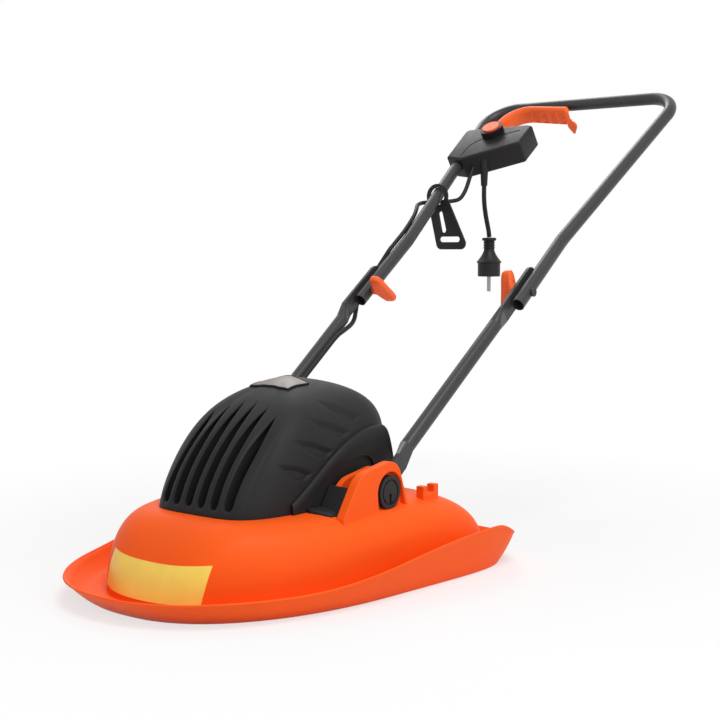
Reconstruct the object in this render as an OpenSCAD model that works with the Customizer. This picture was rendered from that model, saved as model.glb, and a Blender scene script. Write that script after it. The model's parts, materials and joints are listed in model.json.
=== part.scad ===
// Electric hover mower with a fan-lifted deck and a folding tube handle.
// Lengths are millimetres. The deck is drawn with y = 0 at the front of its sole, and
// at_origin() then moves it so that the origin lies on the ground under the machine's middle.
// The handle is drawn in its own frame: x across, y up along it from the pivot, z off its face.
// Right and left are the operator's, who stands behind: right is -x.

/* [Deck] */
// Length of the flat sole
sole_l = 514; // [490:1:540]
// Half width of the sole at mid length
sole_half_w = 192; // [184:1:204]
// Width of the flat ring that the deck stands on
sole_ring_w = 12; // [9:0.5:15]
// How far the rim flares out at the nose
nose_flare = 38; // [28:1:46]
// How far the rim flares out at the sides and the tail
side_flare = 22; // [16:1:28]
// Height of the rim at the nose
nose_rim_h = 30; // [24:1:36]
// Height of the rim at its highest point, beside the tail
side_rim_h = 61; // [50:1:68]
// Thickness of the moulded deck wall
deck_wall = 3; // [2.5:0.1:4]
// Height of the gutter floor between the rim and the dome
gutter_z = 7; // [6:0.5:9]
// Width of the gutter from the sole's edge to the foot of the dome
gutter_w = 20; // [16:1:24]
// Height of the ledge that carries the motor cover
seat_z = 98; // [92:1:104]

/* [Motor cover] */
// Length of the cover at its foot
cover_l = 290; // [280:1:300]
// Half width of the cover at its foot
cover_half_w = 98; // [92:1:104]
// Distance of the cover's nose from the front of the sole
cover_front_y = 108; // [100:1:116]
// Height of the cover above its ledge
cover_h = 152; // [142:1:162]
// Wall of the cover
cover_wall = 3; // [2.5:0.1:4]
// Number of cooling slots in the nose
slot_count = 6; // [4:1:8]
// Width of one cooling slot
slot_w = 12.5; // [8:0.5:14]
// How far the side wings stand off the cover
wing_step = 7; // [4:0.5:9]

/* [Motor] */
// Distance of the motor axis from the front of the sole
motor_y = 262; // [255:1:270]
// Outer diameter of the motor frame
frame_d = 92; // [84:1:98]
// Diameter of the motor shaft
shaft_d = 12; // [10:0.5:14]
// Length of the cutting blade
blade_l = 300; // [270:1:310]
// Width of the cutting blade
blade_w = 46; // [38:1:54]
// Thickness of the cutting blade
blade_t = 3; // [2.5:0.1:4]
// Height of the blade's underside above the ground
blade_z = 25; // [22:1:30]
// Diameter of the fan
fan_d = 210; // [190:1:220]
// Number of fan vanes
vane_count = 10; // [6:1:14]

/* [Handle] */
// Diameter of every handle tube
tube_d = 20; // [18:0.5:22]
// Wall of the handle tubes
tube_wall = 1.5; // [1.2:0.1:2]
// Tilt of the handle above the ground
handle_tilt = 36.2; // [32:0.1:42]
// Distance from the handle pivot to the crossbar
handle_reach = 947; // [900:1:990]
// Half distance between the arms below their kink
arm_half = 142; // [138:1:148]
// Half distance between the corners of the crossbar
corner_half = 184; // [176:1:192]
// Distance from the pivot to the kink in the upper arms
kink_s = 541; // [520:1:560]
// Distance from the pivot to the fold bolts
bolt_s = 414; // [404:1:424]
// Bend radius of the crossbar's corners
corner_r = 52; // [44:1:60]
// Distance of the handle pivot from the front of the sole
pivot_y = 306; // [300:1:312]
// Height of the handle pivot
pivot_z = 113; // [110:1:118]
// Diameter of the pivot pins
pin_d = 10; // [8:0.5:12]
// Diameter of the fold bolts
bolt_d = 6; // [5:0.5:8]

/* [Switch box] */
// Height of the switch box across the handle's plane
box_t = 41; // [37:1:45]
// Diameter of the ring round the lock button
ring_d = 40; // [36:1:44]
// Diameter of the lock button
button_d = 30; // [26:1:32]
// Travel of the lock button
button_travel = 4; // [3:0.5:5]
// Angle that the bail turns from released to gripped
bail_angle = 5.5; // [4:0.5:7]

/* [Leads] */
// Diameter of the mains lead
lead_d = 8; // [7:0.2:9]
// Diameter of the motor cable
cable_d = 7; // [6:0.2:8]
// Diameter of the plug's body
plug_d = 40; // [36:1:44]

/* [Hidden] */

$fn = 48;

// One overrun for all cuts
over = 1;
// Running clearance of shafts, pins and bolts in their bores, on the radius
run_gap = 0.06;
// Gap between pieces that move past each other
move_gap = 0.4;
// Gap between fixed pieces that are slipped into each other
slip_gap = 0.05;

// Stations round the deck and the cover, and rows up their domes
deck_stations = 72;
cover_stations = 48;
dome_rows = 6;
cover_rows = 9;

// Form of the sole's outline: taper to the nose and how square its two halves are
sole_taper_share = 0.165;
sole_nose_power = 2.45;
sole_tail_power = 5.7;

// Form of the cover's foot and of its rise
cover_taper_share = 0.06;
cover_nose_power = 4.2;
cover_tail_power = 4;
cover_top_share = 0.61;
cover_rise_power = 0.75;
front_from_share = 0.3;
front_turn_share = 0.4;
rise_nose_power = 1.9;
rise_side_power = 4.6;
rise_tail_power = 8;

function ease(u) = let(v = min(1, max(0, u))) v * v * (3 - 2 * v);

// Polar radius of a unit superellipse
function pole(a, n) = pow(pow(abs(cos(a)), n) + pow(abs(sin(a)), n), -1 / n);

// Point of an outline that is tapered along y and has its own power at each end
function outline(a, half_w, len, taper, nose, tail) =
    let (p = pole(a, sin(a) < 0 ? nose : tail), v = p * sin(a))
    [half_w * (1 + taper * v) * p * cos(a), len / 2 * (1 + v)];

// The hood keeps its room round the blade
blade_room = 30;
hood_half_w = max(sole_half_w, blade_l / 2 + blade_room);
function sole_pt(a) =
    outline(a, hood_half_w, sole_l, sole_taper_share, sole_nose_power, sole_tail_power);

// Outward direction of the sole's outline
function sole_out(a) =
    let (d = sole_pt(a + 1) - sole_pt(a - 1))
    [d.y, -d.x] / norm(d);

function cover_pt(a, inset = 0) =
    [0, cover_front_y + inset]
    + outline(a, cover_half_w - inset, cover_l - 2 * inset, cover_taper_share,
              cover_nose_power, cover_tail_power);

// Rim: its flare and height change from the nose to the tail
rim_rise_share = [-0.6, 0.63];
rim_fall_share = [0.66, 1];
tail_rim_share = 0.5;
function sole_v(a) = sole_pt(a).y / (sole_l / 2) - 1;
function rim_flare(a) = side_flare + (nose_flare - side_flare) * pow(max(0, -sin(a)), 3);
function rim_h(a) =
    let (v = sole_v(a),
         up = ease((v - rim_rise_share[0]) / (rim_rise_share[1] - rim_rise_share[0])),
         down = ease((v - rim_fall_share[0]) / (rim_fall_share[1] - rim_fall_share[0])))
    nose_rim_h + (side_rim_h - nose_rim_h) * up - side_rim_h * (1 - tail_rim_share) * down;

// Point off the sole's edge: d outwards, at height z
function off_sole(a, d, z) = let (p = sole_pt(a) + d * sole_out(a)) [p.x, p.y, z];

// The dome rises from the gutter to the ledge as a quarter ellipse; deep is the depth in its wall
// Its powers at the nose and the tail, and beside the cover
dome_across_powers = [0.82, 1.3];
dome_up_powers = [1.2, 0.75];
function dome_power(powers, a) = powers[0] + (powers[1] - powers[0]) * pow(cos(a), 2);
seat_margin = 5;
ledge_w = 17;
function dome_pt(a, u, deep = 0) =
    let (foot = off_sole(a, -gutter_w - deep, gutter_z - deep),
         top = cover_pt(a, deep - seat_margin),
         across = pow(1 - cos(90 * u), dome_power(dome_across_powers, a)),
         up = pow(sin(90 * u), dome_power(dome_up_powers, a)))
    [foot.x + (top.x - foot.x) * across,
     foot.y + (top.y - foot.y) * across,
     foot.z + (seat_z - gutter_z) * up];

function ledge_pt(a, z) = let (p = cover_pt(a, ledge_w)) [p.x, p.y, z];

// Cross-section of the deck at one station, from the sole over the rim and the dome and back under
rim_mid_share = [0.42, 0.34];
lip_t = 3.2;
function deck_section(a) =
    let (f = rim_flare(a), h = rim_h(a))
    concat(
        [off_sole(a, 0, 0),
         off_sole(a, f * rim_mid_share[0], h * rim_mid_share[1]),
         off_sole(a, f, h),
         off_sole(a, f - lip_t, h),
         off_sole(a, f * rim_mid_share[0] - lip_t, h * rim_mid_share[1] + lip_t / 2),
         off_sole(a, -lip_t, gutter_z)],
        [for (i = [0 : dome_rows]) dome_pt(a, i / dome_rows)],
        [ledge_pt(a, seat_z), ledge_pt(a, seat_z - deck_wall)],
        [for (i = [dome_rows : -1 : 0]) dome_pt(a, i / dome_rows, deck_wall)],
        [off_sole(a, -sole_ring_w, gutter_z - deck_wall), off_sole(a, -sole_ring_w, 0)]);

// Ring of sections joined into one closed solid
module ring_loft(sections) {
    n = len(sections);
    m = len(sections[0]);
    pts = [for (s = sections) each s];
    faces = [
        for (i = [0 : n - 1], j = [0 : m - 1])
        let (a = i * m + j, b = ((i + 1) % n) * m + j,
             c = ((i + 1) % n) * m + (j + 1) % m, d = i * m + (j + 1) % m)
        each [[a, c, b], [a, d, c]]
    ];
    polyhedron(pts, faces);
}

function middle(pts) = [for (p = pts) 1] * pts / len(pts);

// Stack of closed rings, bottom first, closed by a fan from the middle of each end
module stack_loft(rings) {
    n = len(rings[0]);
    k = len(rings);
    pts = concat([for (r = rings) each r], [middle(rings[0]), middle(rings[k - 1])]);
    sides = [
        for (i = [0 : k - 2], j = [0 : n - 1])
        let (a = i * n + j, b = i * n + (j + 1) % n,
             c = (i + 1) * n + (j + 1) % n, d = (i + 1) * n + j)
        each [[a, c, b], [a, d, c]]
    ];
    low = [for (j = [0 : n - 1]) [j, (j + 1) % n, k * n]];
    high = [for (j = [0 : n - 1]) [(k - 1) * n + (j + 1) % n, (k - 1) * n + j, k * n + 1]];
    polyhedron(pts, concat(sides, low, high));
}

// Curved plate between two grids of points, whose rows all have the same length
module thick_patch(outer, inner) {
    n = len(outer);
    m = len(outer[0]);
    half = n * m;
    pts = concat([for (r = outer) each r], [for (r = inner) each r]);
    skins = [
        for (i = [0 : n - 2], j = [0 : m - 2])
        let (a = i * m + j, b = a + m, c = b + 1, d = a + 1)
        each [[a, b, c], [a, c, d], [half + a, half + c, half + b], [half + a, half + d, half + c]]
    ];
    ends = [
        for (i = [0 : n - 2])
        let (a = i * m, b = a + m, c = a + m - 1, d = c + m)
        each [[a, half + a, half + b], [a, half + b, b], [c, d, half + d], [c, half + d, half + c]]
    ];
    sides = [
        for (j = [0 : m - 2])
        let (a = j, b = j + 1, c = (n - 1) * m + j, d = c + 1)
        each [[a, b, half + b], [a, half + b, half + a], [c, half + c, half + d], [c, half + d, d]]
    ];
    polyhedron(pts, concat(skins, ends, sides));
}

// Round tube swept along a route, with one ring at each of its points
module swept_tube(route, d, sides) {
    n = len(route);
    ref = [0.93, 0.21, 0.3];
    rings = [
        for (i = [0 : n - 1])
        let (t = unit(route[min(n - 1, i + 1)] - route[max(0, i - 1)]),
             u = unit(cross(t, ref)), v = cross(t, u))
        [for (j = [0 : sides - 1])
            let (a = 360 * j / sides)
            route[i] + d / 2 * (cos(a) * u + sin(a) * v)]
    ];
    stack_loft(rings);
}
function unit(v) = v / norm(v);

// Smooth curve through hand-set points, with so many steps between each two
function curve(p, steps) =
    let (n = len(p))
    concat(
        [for (i = [0 : n - 2], k = [0 : steps - 1])
            let (a = p[max(0, i - 1)], b = p[i], c = p[i + 1], d = p[min(n - 1, i + 2)], t = k / steps)
            b + t / 2 * ((c - a) + t * ((2 * a - 5 * b + 4 * c - d) + t * (3 * b - a - 3 * c + d)))],
        [p[n - 1]]);

// Frames of the whole machine, of the handle and of the motor
handle_drop = 5;
rear_y = pivot_y + handle_reach * cos(handle_tilt) + handle_drop * sin(handle_tilt) + tube_d / 2;
mid_y = (rear_y - nose_flare) / 2;

module at_origin() translate([0, -mid_y, 0]) children();
module in_handle() at_origin() translate([0, pivot_y, pivot_z]) rotate([handle_tilt, 0, 0]) children();
module at_motor(z) at_origin() translate([0, motor_y, z]) children();
module along_x(x) translate([x, 0, 0]) rotate([0, 90, 0]) children();
module at_pivot(x) at_origin() translate([0, pivot_y, pivot_z]) along_x(x) children();
module at_bolt(x) in_handle() translate([0, bolt_s, -handle_drop]) along_x(x) children();

module washer_ring(r_out, r_in, h) {
    difference() {
        cylinder(r = r_out, h = h);
        translate([0, 0, -over]) cylinder(r = r_in, h = h + 2 * over);
    }
}

// Deck and its moulded pivot guards

// Across a guard, from the cover outwards: inner cheek, slot for the arm, outer cheek
cheek_gap = 5;
cheek_in_t = 8;
arm_slot_w = 17;
cheek_out_t = 13;
cheek_in_x = cover_half_w + wing_step + cheek_gap;
slot_x = cheek_in_x + cheek_in_t;
cheek_out_x = slot_x + arm_slot_w;
guard_x = cheek_out_x + cheek_out_t;
cap_d = 42;
cap_t = 8;
cap_seat_x = guard_x - cap_t;
guard_crown_r = 24;
guard_crown_z = 14;
guard_front = 93;
guard_back = 38;
guard_foot = 58;
guard_foot_h = 38;
guard_brow_r = 37;
guard_brow_y = 38;
guard_brow_z = 5;
cheek_drop = 6;
// Arched recess round the cap
arch_r = 25;
arch_front = 22;
arch_back = 34;
arch_low = 28;
arch_foot_h = 4;

// Side view of a guard about the pivot, drawn in with its inner cheek
module guard_side(inset) {
    hull() {
        translate([0, guard_crown_z - inset]) circle(r = guard_crown_r - inset / 2, $fn = 32);
        translate([-guard_brow_y, -guard_brow_z - inset]) circle(r = guard_brow_r - inset / 2, $fn = 32);
        translate([-guard_front + inset, -guard_foot])
            square([guard_front + guard_back - 2 * inset, guard_foot_h - inset]);
    }
}

// Side view of the recess that the cap sits in
module arch_side() {
    hull() {
        circle(r = arch_r, $fn = 32);
        translate([-arch_front, -arch_low]) square([arch_front + arch_back, arch_foot_h]);
    }
}

// Space under the middle of the dome's wall, which the moulded parts stand on
module under_dome() {
    rings = [
        for (i = [0 : dome_rows])
        [for (k = [0 : deck_stations - 1])
            dome_pt(360 * k / deck_stations, i / dome_rows, deck_wall / 2)]
    ];
    stack_loft(rings);
}

// Rest that the lowered arm drops on, behind the guard
rest_y = 72;
rest_l = 34;
rest_w = 12;
rest_z = 109;
rest_notch_l = 14;
rest_notch_h = 10;

module left_guard() {
    translate([0, pivot_y, pivot_z])
    difference() {
        union() {
            rotate([90, 0, 90]) translate([0, 0, cheek_in_x]) linear_extrude(cheek_in_t) guard_side(cheek_drop);
            rotate([90, 0, 90]) translate([0, 0, cheek_out_x]) linear_extrude(cheek_out_t) guard_side(0);
        }
        along_x(cheek_in_x - over) cylinder(d = pin_d + 2 * slip_gap, h = guard_x - cheek_in_x + 2 * over);
        rotate([90, 0, 90]) translate([0, 0, cap_seat_x]) linear_extrude(cap_t + over) arch_side();
    }
    translate([guard_x - rest_w, pivot_y + rest_y, gutter_z])
    difference() {
        cube([rest_w, rest_l, rest_z - gutter_z]);
        translate([-over, (rest_l - rest_notch_l) / 2, rest_z - gutter_z - rest_notch_h])
            cube([rest_w + 2 * over, rest_notch_l, rest_notch_h + over]);
    }
}

// Screws hold the cover from under the ledge
cover_screw_angles = [-40, 40, 140, 220];
cover_screw_d = 4;
cover_screw_l = 17;
cover_screw_head_d = 8;
cover_screw_head_h = 3;
boss_d = 13;
boss_h = 20;
boss_inset = 9;
module at_cover_screws(z) {
    for (a = cover_screw_angles) {
        p = cover_pt(a, boss_inset);
        translate([p.x, p.y, z]) children();
    }
}

module deck_shell() color("orangered") at_origin() {
    difference() {
        ring_loft([for (k = [0 : deck_stations - 1]) deck_section(360 * k / deck_stations)]);
        at_cover_screws(seat_z - deck_wall - over)
            cylinder(d = cover_screw_d + 2 * slip_gap, h = deck_wall + 2 * over);
    }
    for (s = [0, 1]) mirror([s, 0, 0]) difference() {
        left_guard();
        under_dome();
    }
}

// Motor cover

function rise_power(a) =
    rise_side_power
    + (rise_nose_power - rise_side_power) * ease((-sin(a) - front_from_share) / front_turn_share)
    + (rise_tail_power - rise_side_power) * pow(max(0, sin(a)), 2);

// Point of the cover at an angle and a share of its height; inset goes into its wall
function cover_wall_pt(a, share, inset) =
    let (top = [0, cover_front_y + cover_top_share * cover_l],
         c = pow(1 - pow(share, rise_power(a)), cover_rise_power),
         p = top + (cover_pt(a, inset) - top) * c)
    [p.x, p.y, seat_z + share * (cover_h - inset)];

cover_last_share = 0.995;
module cover_solid(inset, drop) {
    rings = [
        for (i = [0 : cover_rows])
        [for (k = [0 : cover_stations - 1])
            cover_wall_pt(360 * k / cover_stations, cover_last_share * sin(90 * i / cover_rows), inset)]
    ];
    foot = [for (p = rings[0]) [p.x, p.y, p.z - drop]];
    stack_loft(drop > 0 ? concat([foot], rings) : rings);
}

// Cooling slots stand side by side in the nose; each is a sabre that narrows to its upper tip
slot_pitch = 20.6;
slot_low = 9;
slot_high = 126;
slot_high_drop = 2.2;
slot_shoulder_share = 0.72;
slot_tip = 2;
slot_depth = 130;
module cover_slots() {
    for (i = [0 : slot_count - 1]) {
        off = i - (slot_count - 1) / 2;
        x = off * slot_pitch;
        high = slot_high - slot_high_drop * off * off;
        mid = slot_low + (high - slot_low) * slot_shoulder_share;
        translate([0, cover_front_y + slot_depth, seat_z]) rotate([90, 0, 0])
        linear_extrude(slot_depth + over)
        polygon([
            [x - slot_w / 2, slot_low],
            [x + slot_w / 2, slot_low],
            [x + slot_w / 2, mid],
            [x + slot_tip * sign(off), high],
            [x - slot_w / 2, mid]
        ]);
    }
}

// Raised wing on each side, under a curved edge that climbs to the rear
wing_from = -27;
wing_to = 42;
wing_peak = 34;
wing_low_share = 0.085;
wing_high_share = 0.6;
wing_end_share = 0.2;
wing_columns = 14;
wing_rows = 4;
wing_root = 1.5;
wing_tail_power = 7;
wing_rise_power = 8;
wing_sink_share = 0.1;
// Arch cut into the wing round the pivot
wing_arch_r = 60;
wing_arch_depth = 2;
function wing_top(a) =
    a < wing_peak
    ? wing_low_share + (wing_high_share - wing_low_share) * sin(90 * (a - wing_from) / (wing_peak - wing_from))
    : wing_high_share + (wing_end_share - wing_high_share) * ease((a - wing_peak) / (wing_to - wing_peak));
// Outer face of a wing, squarer at its rear corner than the cover below it
function wing_pt(a, share) =
    let (top = [0, cover_front_y + cover_top_share * cover_l],
         foot = [0, cover_front_y - wing_step]
             + outline(a, cover_half_w + wing_step, cover_l + 2 * wing_step, cover_taper_share,
                       cover_nose_power, wing_tail_power),
         p = top + (foot - top) * pow(1 - pow(share, wing_rise_power), cover_rise_power))
    [p.x, p.y, seat_z + share * cover_h];
function wing_angle(i) = wing_to + (wing_from - wing_to) * i / wing_columns;
wing_outer = [
    for (i = [0 : wing_columns])
    let (a = wing_angle(i))
    [for (j = [0 : wing_rows]) wing_pt(a, wing_top(a) * j / wing_rows)]
];
wing_inner = [
    for (i = [0 : wing_columns])
    let (a = wing_angle(i))
    [for (j = [0 : wing_rows])
        cover_wall_pt(a, wing_top(a) * (wing_sink_share + (1 - wing_sink_share) * j / wing_rows), wing_root)]
];

gland_x = -50;
gland_z = 165;
gland_d = 16;
gland_tip_d = 10;
gland_in = 12;
gland_out = 22;
gland_y = cover_front_y + cover_l;
module at_gland() translate([gland_x, gland_y, gland_z]) rotate([-90, 0, 0]) children();

module motor_cover() color("dimgray") at_origin() difference() {
    union() {
        difference() {
            union() {
                cover_solid(0, 0);
                for (s = [0, 1]) mirror([s, 0, 0]) difference() {
                    thick_patch(wing_outer, wing_inner);
                    translate([0, pivot_y, pivot_z]) along_x(cover_half_w + wing_step - wing_arch_depth)
                        cylinder(r = wing_arch_r, h = 2 * wing_step);
                }
            }
            cover_solid(cover_wall, over);
            cover_slots();
        }
        intersection() {
            at_cover_screws(seat_z) cylinder(d = boss_d, h = boss_h);
            cover_solid(cover_wall / 2, 0);
        }
    }
    at_cover_screws(seat_z - over) cylinder(d = cover_screw_d + 2 * slip_gap, h = cover_screw_l + over);
    at_gland() translate([0, 0, -gland_in - cover_half_w / 2])
        cylinder(d = gland_d + 2 * slip_gap, h = gland_in + gland_out + cover_half_w / 2);
}

module cover_screws() color("silver") at_origin() at_cover_screws(seat_z - deck_wall - cover_screw_head_h) {
    cylinder(d = cover_screw_head_d, h = cover_screw_head_h);
    cylinder(d = cover_screw_d, h = cover_screw_head_h + deck_wall + cover_screw_l - over);
}

module cable_gland() color("black") at_origin() at_gland() difference() {
    union() {
        translate([0, 0, -gland_in - gland_d]) cylinder(d = gland_d, h = gland_in + gland_d);
        cylinder(d1 = gland_d, d2 = gland_tip_d, h = gland_out);
    }
    translate([0, 0, -gland_in - gland_d - over])
        cylinder(d = cable_d + 2 * slip_gap, h = gland_in + gland_d + over);
}

// Motor

carrier_t = 5;
carrier_gap = 2;
carrier_inset = cover_wall + carrier_gap;
hub_d = 46;
hub_drop = 12;
low_bearing_d = 32;
low_bearing_h = 10;
high_bearing_d = 24;
high_bearing_h = 8;
frame_wall = 3;
frame_flange_w = 8;
frame_flange_d = frame_d + 2 * frame_flange_w;
frame_flange_t = 4;
frame_h = 78;
frame_z = seat_z + carrier_t;
frame_top_z = frame_z + frame_h;
screw_ring_r = (frame_d + frame_flange_w) / 2;
screw_count = 4;
screw_d = 4;
screw_head_d = 7;
screw_head_h = 3;
window_count = 8;
window_sweep = 30;
window_w = 20;
window_gap = 2;
window_r = frame_flange_d / 2 + window_gap;

module carrier_windows() {
    for (i = [0 : window_count - 1])
        rotate([0, 0, (i + 1 / 2) * 360 / window_count - window_sweep / 2])
        rotate_extrude(angle = window_sweep) translate([window_r, -over]) square([window_w, carrier_t + 2 * over]);
}

module motor_carrier() color("gray") {
    low_z = seat_z + carrier_t - low_bearing_h;
    difference() {
        union() {
            at_origin() translate([0, 0, seat_z]) linear_extrude(carrier_t)
                polygon([for (k = [0 : cover_stations - 1]) cover_pt(360 * k / cover_stations, carrier_inset)]);
            at_motor(seat_z - hub_drop) cylinder(d = hub_d, h = hub_drop + carrier_t);
        }
        at_motor(seat_z) carrier_windows();
        at_motor(low_z) cylinder(d = low_bearing_d + 2 * slip_gap, h = low_bearing_h + over);
        at_motor(seat_z - hub_drop - over) cylinder(d = low_bearing_d - 2 * frame_wall, h = hub_drop + over);
        at_motor(seat_z - over) for (i = [0 : screw_count - 1]) rotate([0, 0, 360 * i / screw_count])
            translate([screw_ring_r, 0, 0]) cylinder(d = screw_d + 2 * slip_gap, h = carrier_t + 2 * over);
        at_origin() at_cover_screws(seat_z - over) cylinder(d = boss_d + 2 * move_gap, h = carrier_t + 2 * over);
    }
}

module carrier_screws() color("silver") at_motor(seat_z + over)
    for (i = [0 : screw_count - 1]) rotate([0, 0, 360 * i / screw_count]) translate([screw_ring_r, 0, 0]) {
        cylinder(d = screw_d, h = carrier_t + frame_flange_t - over);
        translate([0, 0, carrier_t + frame_flange_t - over]) cylinder(d = screw_head_d, h = screw_head_h);
    }

module motor_frame() color("slategray") at_motor(frame_z) difference() {
    union() {
        cylinder(d = frame_d, h = frame_h);
        cylinder(d = frame_flange_d, h = frame_flange_t);
    }
    translate([0, 0, -over]) cylinder(d = frame_d - 2 * frame_wall, h = frame_h + 2 * over);
    for (i = [0 : screw_count - 1]) rotate([0, 0, 360 * i / screw_count])
        translate([screw_ring_r, 0, -over]) cylinder(d = screw_d + 2 * slip_gap, h = frame_flange_t + 2 * over);
}

core_h = 42;
core_rise = 20;
core_z = frame_z + core_rise;
core_r = frame_d / 2 - frame_wall - slip_gap;
air_gap = 0.7;
rotor_r = 25;
coil_h = 11;
coil_sweep = 100;
coil_t = 11;
module stator_core() color("darkgray") at_motor(core_z) washer_ring(core_r, rotor_r + air_gap, core_h);

module field_coils() color("chocolate") for (z = [core_z - coil_h, core_z + core_h], s = [0, 180])
    at_motor(z) rotate([0, 0, s - coil_sweep / 2])
    rotate_extrude(angle = coil_sweep) translate([core_r - over - coil_t, 0]) square([coil_t, coil_h]);

bracket_wall_h = 19;
bracket_plate_t = 6;
bracket_hub_d = 36;
bracket_hub_h = 10;
brush_d = 8;
brush_holder_d = 12;
brush_out = 2;
brush_z = bracket_wall_h / 2;
commutator_r = 15;
commutator_h = 13;
brush_gap = 0.3;
holder_in_r = 21;
vent_d = 13;
vent_r = 31;
shaft_r = shaft_d / 2;
high_bearing_z = frame_top_z + bracket_wall_h + bracket_plate_t + bracket_hub_h - high_bearing_h;

module end_bracket() color("gray") at_motor(frame_top_z) difference() {
    union() {
        washer_ring(frame_d / 2, frame_d / 2 - frame_wall, bracket_wall_h);
        translate([0, 0, bracket_wall_h]) cylinder(d = frame_d, h = bracket_plate_t);
        translate([0, 0, bracket_wall_h]) cylinder(d = bracket_hub_d, h = bracket_plate_t + bracket_hub_h);
    }
    translate([0, 0, bracket_wall_h - over]) cylinder(d = shaft_d + 2 * move_gap, h = bracket_plate_t + bracket_hub_h + 2 * over);
    translate([0, 0, high_bearing_z - frame_top_z])
        cylinder(d = high_bearing_d + 2 * slip_gap, h = high_bearing_h + over);
    translate([0, 0, brush_z]) along_x(-frame_d / 2 - over)
        cylinder(d = brush_holder_d + 2 * slip_gap, h = frame_d + 2 * over);
    for (i = [0 : 3]) rotate([0, 0, 90 * i]) translate([vent_r, 0, bracket_wall_h - over])
        cylinder(d = vent_d, h = bracket_plate_t + 2 * over);
}

module brush_holders() color("goldenrod") at_motor(frame_top_z + brush_z) for (s = [0, 1]) mirror([s, 0, 0])
    along_x(holder_in_r) washer_ring(brush_holder_d / 2, brush_d / 2 + slip_gap, frame_d / 2 + brush_out - holder_in_r);

module carbon_brushes() color("black") at_motor(frame_top_z + brush_z) for (s = [0, 1]) mirror([s, 0, 0])
    along_x(commutator_r + brush_gap) cylinder(d = brush_d, h = frame_d / 2 - commutator_r - brush_holder_d / 2);

module lower_bearing() color("silver") at_motor(seat_z + carrier_t - low_bearing_h)
    washer_ring(low_bearing_d / 2, shaft_r + run_gap, low_bearing_h);

module upper_bearing() color("silver") at_motor(high_bearing_z)
    washer_ring(high_bearing_d / 2, shaft_r + run_gap, high_bearing_h);

// Rotor: shaft, armature, fan and blade turn together

spacer_d = 40;
spacer_t = 6;
spacer_count = 2;
spacer_z = blade_z + blade_t;
fan_z = spacer_z + spacer_count * spacer_t;
fan_hub_d = 34;
fan_hub_h = 22;
fan_disc_z = 4;
fan_disc_t = 3;
vane_h = 24;
vane_t = 2.4;
vane_in_r = 36;
vane_sweep = 32;
vane_steps = 5;
stud_d = 8;
stud_l = 24;
bolt_flange_d = 26;
bolt_flange_t = 3;
bolt_hex_d = 20;
bolt_hex_h = 8;
shaft_over = 3;

module motor_shaft() color("silver") at_motor(blade_z) difference() {
    cylinder(r = shaft_r, h = high_bearing_z + high_bearing_h + shaft_over - blade_z);
    translate([0, 0, -over]) cylinder(d = stud_d + 2 * slip_gap, h = stud_l + 2 * over);
}

rotor_slot_count = 12;
rotor_slot_w = 3;
rotor_slot_depth = 5;
module rotor_core() color("darkgray") at_motor(core_z) difference() {
    washer_ring(rotor_r, shaft_r + slip_gap, core_h);
    for (i = [0 : rotor_slot_count - 1]) rotate([0, 0, 360 * i / rotor_slot_count])
        translate([rotor_r - rotor_slot_depth, -rotor_slot_w / 2, -over])
        cube([rotor_slot_depth + over, rotor_slot_w, core_h + 2 * over]);
}

module commutator() color("peru") at_motor(frame_top_z + brush_z - commutator_h / 2)
    washer_ring(commutator_r, shaft_r + slip_gap, commutator_h);

// Plan of one vane, swept back from the hub to the rim
function vane_edge(side) = [
    for (i = [0 : vane_steps])
    let (r = vane_in_r + (fan_d / 2 - vane_t - vane_in_r) * i / vane_steps,
         a = -vane_sweep * i / vane_steps)
    r * [cos(a), sin(a)] + side * vane_t / 2 * [-sin(a), cos(a)]
];
module fan() color("darkslategray") at_motor(fan_z) difference() {
    union() {
        cylinder(d = fan_hub_d, h = fan_hub_h);
        translate([0, 0, fan_disc_z]) cylinder(d = fan_d, h = fan_disc_t);
        for (i = [0 : vane_count - 1]) rotate([0, 0, 360 * i / vane_count])
            translate([0, 0, fan_disc_z + fan_disc_t / 2]) linear_extrude(vane_h)
            polygon(concat(vane_edge(-1), [for (k = [vane_steps : -1 : 0]) vane_edge(1)[k]]));
    }
    translate([0, 0, -over]) cylinder(r = shaft_r + slip_gap, h = fan_hub_h + 2 * over);
}

module blade_spacers() color("khaki") for (i = [0 : spacer_count - 1])
    at_motor(spacer_z + i * spacer_t) washer_ring(spacer_d / 2, shaft_r + slip_gap, spacer_t);

// Flat bar with cranked cutting ends: the leading half of each tip is ground away
blade_grind_l = 70;
blade_grind_w = 9;
blade_tip_r = 10;
module cutter_blade() color("silver") at_motor(blade_z) difference() {
    linear_extrude(blade_t) hull() for (x = [-1, 1], y = [-1, 1])
        translate([x * (blade_l / 2 - blade_tip_r), y * (blade_w / 2 - blade_tip_r)]) circle(r = blade_tip_r, $fn = 32);
    translate([0, 0, -over]) cylinder(r = shaft_r + slip_gap, h = blade_t + 2 * over);
    for (s = [0, 180]) rotate([0, 0, s])
        translate([blade_l / 2 - blade_grind_l, blade_w / 2 - blade_grind_w, blade_t / 2])
        cube([blade_grind_l + over, blade_grind_w + over, blade_t]);
}

module blade_bolt() color("dimgray") at_motor(blade_z - bolt_flange_t) {
    cylinder(d = bolt_flange_d, h = bolt_flange_t);
    translate([0, 0, -bolt_hex_h]) cylinder(d = bolt_hex_d, h = bolt_hex_h, $fn = 6);
    cylinder(d = stud_d, h = bolt_flange_t + stud_l);
}

// Pivot of the handle

flat_low_t = 5;
flat_low_off = 3.5;
flat_low_x = slot_x + arm_slot_w / 2 + flat_low_off;
module pivot_pin(s) color("silver") mirror([s, 0, 0]) {
    at_pivot(cheek_in_x) cylinder(d = pin_d, h = cap_seat_x - cheek_in_x + cap_t / 2 - move_gap);
}
module pivot_pin_left() pivot_pin(0);
module pivot_pin_right() pivot_pin(1);

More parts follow.
